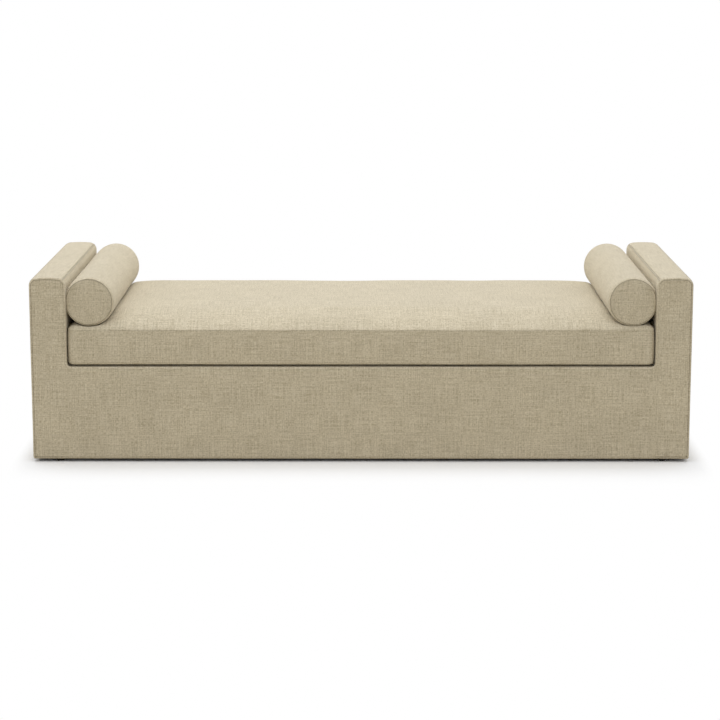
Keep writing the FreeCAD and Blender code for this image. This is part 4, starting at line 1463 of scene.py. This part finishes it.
@dataclass
class ZipClosure:
    """Nylon coil zip between two folded edges of the cover, with end stops and a slider without a pull."""

    name: str
    place: ZipPlace
    body: str
    node: str
    finishes: Finishes
    length: float = 1500 * MM
    lip_width: float = 18.5 * MM
    coil_half: float = 2.5 * MM
    coil_height: float = 1.6 * MM
    tape: float = 1.0 * MM
    # The real coil has 1.2 mm between turns, drawn at twice that so that the turns can be told apart.
    coil_pitch: float = 2.4 * MM
    lip_step: float = 6 * MM
    lip_gap: float = 0.5 * MM
    lip_wave: float = 0.12 * MM
    lip_wave_run: float = 23 * MM
    stitch: float = 3.2 * MM
    stitch_in: float = 5.5 * MM
    stop_length: float = 3.2 * MM
    slider_length: float = 10 * MM
    slider_half: float = 4.4 * MM
    slider_gap: float = 2.9 * MM
    slider_top: float = 3.5 * MM

    @property
    def seam_at(self) -> float:
        """Distance from the middle of the coil to each line of stitching."""
        return self.coil_half + self.lip_gap + self.stitch_in

    def lips(self) -> list[Shape]:
        """Folded edges of the cover on both sides of the coil, with a line of stitching."""
        made = []
        runs = np.linspace(-self.length / 2, self.length / 2, int(self.length / self.lip_step) + 1)
        inner, outer, thick = self.coil_half + self.lip_gap, self.lip_width, self.tape * 0.9
        seam, hollow = self.seam_at, 1.3 * MM
        across, height = np.array([
            (inner, 0.05 * MM), (inner - 0.1 * MM, 0.45 * thick), (inner + 0.35 * MM, 0.9 * thick),
            (inner + 1.4 * MM, thick), (seam - hollow, thick), (seam, 0.62 * thick),
            (seam + hollow, 0.95 * thick), (outer - 2.5 * MM, 0.8 * thick), (outer, 0.1 * MM)]).T
        for side in (-1, 1):
            wave = self.lip_wave * np.sin(runs[:, None] / self.lip_wave_run + side)
            grid = np.stack(np.broadcast_arrays(runs[:, None], side * (across + wave), height), axis=-1)
            flat = grid[..., :2].reshape(-1, 2) + np.array([0.0, 0.2])
            made.append((grid.reshape(-1, 3), flat, grid_faces(*grid.shape[:2], turned=side > 0)))
        return made

    def coil(self) -> Shape:
        """Two interlocked rows of turns on the tape."""
        runs = np.linspace(-self.length / 2, self.length / 2, int(self.length / self.coil_pitch) * 4 + 1)
        across = self.coil_half * np.array([-1.2, -1.0, -0.85, -0.5, -0.15, 0.0, 0.15, 0.5, 0.85, 1.0, 1.2])
        phase = math.tau * runs[:, None] / self.coil_pitch + np.where(across < 0, math.pi, 0.0)[None, :]
        dome = np.sqrt(np.clip(1 - (across / self.coil_half) ** 4, 0, 1))
        groove = 1 - 0.25 * np.exp(-(across / (0.25 * self.coil_half)) ** 2)
        rise = self.coil_height * dome * groove
        height = self.tape * 0.35 + rise[None, :] * (0.8 + 0.2 * np.sin(phase))
        grid = np.stack(np.broadcast_arrays(runs[:, None], across, height), axis=-1)
        return grid.reshape(-1, 3), grid[..., :2].reshape(-1, 2), grid_faces(*height.shape, turned=True)

    def stitches(self) -> Shape:
        """Short threads that hold both folded edges to the tape."""
        reach, high, last = self.stitch * 0.36, self.tape * 0.8, self.length / 2 - self.stitch
        turn = np.radians([45, 135, 225, 315])
        thread = ((-1, 0.10, 0.55), (-0.5, 0.24, 0.95), (0.5, 0.24, 0.95), (1, 0.10, 0.55))
        parts = []
        for side in (-1, 1):
            for middle in np.arange(-last, last, self.stitch):
                rings = [np.stack([np.full(4, middle + step * reach),
                                   side * self.seam_at + size * MM * np.cos(turn),
                                   height * high + size * MM * np.sin(turn)], axis=-1)
                         for step, size, height in thread]
                vertices, faces = lofted(np.array(rings))
                parts.append((vertices, vertices[:, :2], faces))
        return joined(parts)

    def stops(self) -> Shape:
        """Small clamped blocks at both ends of the coil."""
        parts = []
        turn = np.linspace(0, math.tau, 13)[:-1]
        wide, tall = (np.sign(wave) * np.abs(wave) ** 0.5 for wave in (np.cos(turn), np.sin(turn)))
        half_height = self.coil_height * 0.55
        for end in (-1, 1):
            rings = []
            for run, size in ((0, 0.7), (0.3, 0.95), (0.8, 1.0), (2.4, 1.0), (2.9, 0.95), (3.2, 0.7)):
                place = end * (self.length / 2 - self.stop_length + run * MM)
                rings.append(np.stack([np.full(12, place), self.coil_half * 1.05 * size * wide,
                                       self.tape + half_height * (0.5 + size * tall)], axis=-1))
            vertices, faces = lofted(np.array(rings))
            parts.append((vertices, vertices[:, :2], faces if end < 0 else [f[::-1] for f in faces]))
        return joined(parts)

    def slider(self) -> Shape:
        """Slider body with its channel over the coil, and the bent bridge on its back."""
        half, g, bridge = self.slider_length / 2, self.slider_gap, 1.3 * MM
        base, roof = self.tape + 0.15 * MM, self.coil_height + self.tape * 0.55 + 0.25 * MM
        rings = []
        for run, width, drop in ((-1, 0.86, 0.5), (-0.92, 0.92, 0.2), (-0.6, 0.97, 0.05), (0, 1.0, 0),
                                 (0.5, 1.0, 0), (0.88, 0.96, 0.15), (1, 0.9, 0.5)):
            w, top = self.slider_half * width, self.tape + self.slider_top - drop * MM
            side = [(w - 0.9 * MM, top), (w - 0.3 * MM, top - 0.3 * MM), (w, top - 0.9 * MM), (w, base)]
            ring = [*[(-across, height) for across, height in side[::-1]], *side,
                    (g, base), (g, roof), (-g, roof), (-g, base)]
            rings.append([(run * half, across, height) for across, height in ring])
        body = lofted(np.array(rings))
        rise = [(-0.8, 3.1), (-0.76, 4.4), (-0.6, 5.1), (-0.3, 5.4)]
        strap = []
        for run, height in [*rise, *[(-run, height) for run, height in rise[::-1]]]:
            inward = np.array([-run, -0.25 * (height - rise[0][1])])
            out = np.array([run * half, self.tape + (height - 0.05) * MM])
            inner = out + inward / np.linalg.norm(inward) * 0.8 * MM
            between = (out[1] + inner[1]) / 2
            right = [(inner[0], bridge, inner[1]), (out[0], 1.5 * MM, between), (out[0], bridge, out[1])]
            strap.append([(run_at, -across, up) for run_at, across, up in right[::-1]] + right)
        parts = (body, lofted(np.array(strap)))
        vertices, flat, faces = joined((points, points[:, :2], quads) for points, quads in parts)
        shift = (self.length - self.slider_length) / 2
        return vertices + np.array([shift, 0, 0]), flat + np.array([shift, 0]), faces

    def piece(self, word: str, shape: Shape, material: Material, slot: str, body: str,
              stands_for: Sequence[str] = (), smooth: bool = True) -> None:
        """Make one piece of the zip in its place."""
        points, flat, faces = shape
        fitted(f"{self.name}_{word}", (self.place.put(points), flat, faces), material, body, stands_for,
               smooth=smooth)

    def build(self) -> None:
        """Make the closure and its slider."""
        made, slider = self.finishes, f"{self.node}_slider"
        self.piece("edges", joined(self.lips()), made.linen, "zip_tape", self.body)
        self.piece("coil", joined([self.coil(), self.stitches()]), made.coil, "zip_tape", self.body,
                   [self.node])
        self.piece("stops", self.stops(), made.lacquer, "zip_metal", self.body)
        self.piece("runner", self.slider(), made.lacquer, "zip_metal", slider, [slider], smooth=False)


# Deck under the cushion, cloth under the base, and glides


@dataclass
class DeckAndUnderside:
    """Padded deck panel, dust cover and the turned glides."""

    sizes: DivanSizes
    linen: Material
    black_cloth: Material
    plastic: Material
    glide_radius: float = 14.5 * MM
    foot_radius: float = 11 * MM
    glide_height: float = 9 * MM
    edge_in: float = 85 * MM
    front_in: float = 25 * MM
    dust_in: float = 12 * MM
    dust_height: float = 9.4 * MM
    dust_sag: float = 0.35 * MM
    side_gap: float = 1.5 * MM
    roll: float = 8 * MM
    sewing: Sewing = field(default_factory=Sewing)

    def deck(self) -> None:
        """Panel of the deck, proud of the lips that it is sewn to."""
        s = self.sizes
        half_x, half_y = s.arm_inner - self.side_gap, s.half_depth - s.lip
        fine = (0, 4 * MM, 10 * MM)
        xs, ys = graded(2 * half_x, 40 * MM, fine), graded(2 * half_y, 30 * MM, fine)
        near = np.clip(np.minimum(ys, 2 * half_y - ys) / self.roll, 0, 1)
        height = s.deck_top - (s.deck_top - s.base_height) * np.sqrt(1 - near ** 2)
        grid = np.stack(np.broadcast_arrays((xs - half_x)[:, None], (ys - half_y)[None, :], height), axis=-1)
        panel = ClothPanel(grid, xs, ys, (False, False, True, True), self.sewing, seed=301, step=25 * MM,
                           uneven=0.2 * MM)
        fitted("deck_panel", panel.dense(), self.linen, "base",
               ("deck_cloth", "deck_foam", "deck_felt"))

    def dust_cover(self) -> None:
        """Thin black cloth stapled under the frame, a little uneven between its staples."""
        s = self.sizes
        half_x, half_y = s.half_length - self.dust_in, s.half_depth - self.dust_in
        xs, ys = np.linspace(-half_x, half_x, 90), np.linspace(-half_y, half_y, 38)
        x, y = np.meshgrid(xs, ys, indexing="ij")
        points = np.stack([x, y, np.full(x.shape, self.dust_height)], axis=-1).reshape(-1, 3)
        points[:, 2] += self.dust_sag * smooth_noise(points, 0.16, 401)
        piece = fitted("underside_cloth", (points, points[:, :2].copy(), grid_faces(*x.shape, turned=True)),
                       self.black_cloth, "base", ("dust_cover",))

    def glides(self) -> None:
        """Turned nail-on glides at the corners and under the centre leg."""
        s = self.sizes
        rim = 1.6 * MM
        r, f, h = self.glide_radius, self.foot_radius, self.glide_height
        profile = [(0.0, 0.25 * MM), (f * 0.55, 0.15 * MM), (f - rim, 0.0), (f - 0.4 * rim, 0.25 * rim),
                   (f, 0.8 * rim), (r - 1.0 * MM, h - 3.2 * MM), (r, h - 2.2 * MM), (r, h - 0.5 * MM),
                   (r - 0.6 * MM, h), (2 * MM, h), (2 * MM, h + 0.6 * MM), (0.0, h + 0.6 * MM)]
        angle = np.linspace(0, math.tau, 41)[:-1]
        x, y = s.half_length - self.edge_in, s.half_depth - self.front_in
        vertices, faces = [], []
        for spot in ((-x, -y), (x, -y), (-x, y), (x, y), (0.0, 0.0)):
            faces += ring_faces(len(profile), len(angle), len(vertices))
            for radius, height in profile:
                vertices += [(spot[0] + radius * math.cos(turn), spot[1] + radius * math.sin(turn), height)
                             for turn in angle]
        points = np.array(vertices)
        fitted("glide_set", (points, points[:, :2], faces), self.plastic, "base",
               ("glides",))

    def build(self) -> None:
        """Make deck, dust cover and glides."""
        self.deck()
        self.dust_cover()
        self.glides()


# Room, light and camera


@dataclass
class Studio:
    """White room, soft light and the photograph's camera."""

    camera_place: tuple[float, float, float] = (0.012, -7.431, 1.6656)
    pitch_down: float = 10.74
    turn_left: float = 0.125
    lens: float = 110.35
    sensor: float = 36.0
    floor_colour: str = "#FCFDFF"
    # Where only the lights' rays meet it the floor is greyer, as the room's own floor is
    bounce_colour: str = "#CAC3B3"
    world_strength: float = 0.79
    footprint: tuple[float, float, float] = (1.067, 0.432, 0.01)
    shade_reach: tuple[float, float] = (0.02, 0.36)
    # The shadow ends sooner beside the divan than in front of it
    shade_share: tuple[float, float, float] = (5.0, 1.0, 1.0)
    floor_reach: float = 40.0
    top_place: tuple[float, float, float] = (-0.25, 0.6, 3.4)
    top_size: tuple[float, float] = (4.5, 3.0)
    top_power: float = 61.0
    front_place: tuple[float, float, float] = (0.0, -2.4, 3.0)
    front_size: tuple[float, float] = (4.0, 1.6)
    front_power: float = 7.0
    lit_middle: tuple[float, float, float] = (0.0, 0.0, 0.35)

    def camera(self) -> None:
        """Place the camera as the photograph's perspective gives it."""
        data = bpy.data.cameras.new("camera")
        data.lens, data.sensor_width, data.sensor_fit = self.lens, self.sensor, "AUTO"
        data.clip_end = 200
        camera = bpy.data.objects.new("camera", data)
        camera.location = self.camera_place
        camera.rotation_euler = (math.radians(90 - self.pitch_down), 0, math.radians(self.turn_left))
        bpy.context.scene.collection.objects.link(camera)
        bpy.context.scene.camera = camera

    def lamp(self, name: str, place: Sequence[float], size: Sequence[float], power: float) -> None:
        """Hang one soft lamp that looks at the middle of the divan."""
        data = bpy.data.lights.new(name, "AREA")
        data.shape, data.size, data.size_y, data.energy = "RECTANGLE", size[0], size[1], power
        lamp = bpy.data.objects.new(name, data)
        lamp.location = place
        way = Vector(self.lit_middle) - Vector(place)
        lamp.rotation_euler = way.to_track_quat("-Z", "Y").to_euler()
        bpy.context.scene.collection.objects.link(lamp)

    def world(self) -> None:
        """Light all round, seen as white behind the divan."""
        world = bpy.data.worlds.new("room")
        bpy.context.scene.world = world
        world.use_nodes = True
        recipe = Recipe("room", world.node_tree)
        seen = recipe.add("LightPath").outputs["Is Camera Ray"]
        strength = recipe.add("MapRange", {"Value": seen, "To Min": self.world_strength, "To Max": 1.0})
        light = recipe.add("Background", {"Color": (1, 1, 1, 1), "Strength": strength})
        recipe.add("OutputWorld", {"Surface": light})

    def floor(self) -> None:
        """Pale floor that keeps the shadow near the divan and is plain white far from it."""
        recipe = Recipe("floor_matt_paint")
        away = recipe.add("NewGeometry")
        for operation, other in (("ABSOLUTE", None), ("SUBTRACT", self.footprint), ("MAXIMUM", None),
                                 ("MULTIPLY", self.shade_share), ("LENGTH", None)):
            inputs = {0: away} if other is None else {0: away, 1: other}
            away = recipe.add("VectorMath", inputs, operation=operation)
        near, far = self.shade_reach
        beyond = recipe.add("MapRange", {"Value": away, "From Min": near, "From Max": far},
                            interpolation_type="SMOOTHSTEP")
        seen = recipe.add("LightPath").outputs["Is Camera Ray"]
        colour = recipe.add("Mix", {"Factor": seen, 6: self.bounce_colour, 7: self.floor_colour},
                            data_type="RGBA")
        paint = recipe.add("BsdfDiffuse", {"Color": colour})
        white = recipe.add("Emission", {"Color": (1, 1, 1, 1), "Strength": 1.0})
        share = recipe.add("Math", {0: beyond, 1: seen}, operation="MULTIPLY")
        material = recipe.finish(recipe.add("MixShader", {0: share, 1: paint, 2: white}))
        reach = self.floor_reach
        corners = [(-reach, -reach, 0), (reach, -reach, 0), (reach, reach, 0), (-reach, reach, 0)]
        add_piece("floor", corners, [(0, 1, 2, 3)], None, material, smooth=False)

    def build(self) -> None:
        """Set up camera, light and floor."""
        self.camera()
        self.world()
        self.floor()
        self.lamp("top_light", self.top_place, self.top_size, self.top_power)
        self.lamp("front_light", self.front_place, self.front_size, self.front_power)
        bpy.context.scene.view_settings.view_transform = "Standard"


def zips(sizes: DivanSizes, finishes: Finishes) -> list[ZipClosure]:
    """The closures along the cushion's back and under both bolsters.

    Args:
        sizes: Sizes shared by the pieces.
        finishes: The divan's finishes.

    Returns:
        The three closures.
    """
    seat = SeatCushion(sizes, finishes.linen)
    middle = (seat.bottom_seam + seat.top_seam) / 2
    place = ZipPlace((0.0, seat.back, middle), (1.0, 0.0, 0.0), (0.0, 1.0, 0.0))
    made = [ZipClosure("seat_closure", place, "seat_cushion", "seat_zip", finishes)]
    radius = sizes.bolster_radius
    # Half way between down and sideways, towards the arm
    slant = math.sqrt(0.5)
    for side in Side:
        origin = (side.value * (sizes.bolster_x + radius * slant), 0.0, sizes.bolster_z - radius * slant)
        place = ZipPlace(origin, (0.0, 1.0, 0.0), (side.value * slant, 0.0, -slant), radius)
        body = f"bolster_{side.name.lower()}"
        made.append(ZipClosure(f"{body}_closure", place, body, f"{body}_zip", finishes, length=640 * MM,
                               lip_width=11.5 * MM))
    return made


def main() -> None:
    """Build the divan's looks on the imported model."""
    logging.basicConfig(level=logging.INFO, format="%(name)s: %(message)s")
    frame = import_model()
    sizes = DivanSizes()
    finishes = Finishes()
    Studio().build()
    finishes.dress_frame(frame["nodes"])
    FixedCovers(sizes, finishes.linen).build()
    SeatCushion(sizes, finishes.linen).build()
    for side in Side:
        Bolster(sizes, side, finishes.linen).build()
    DeckAndUnderside(sizes, finishes.linen, finishes.dust_cloth, finishes.plastic).build()
    for closure in zips(sizes, finishes):
        closure.build()


if __name__ == "__main__":
    main()
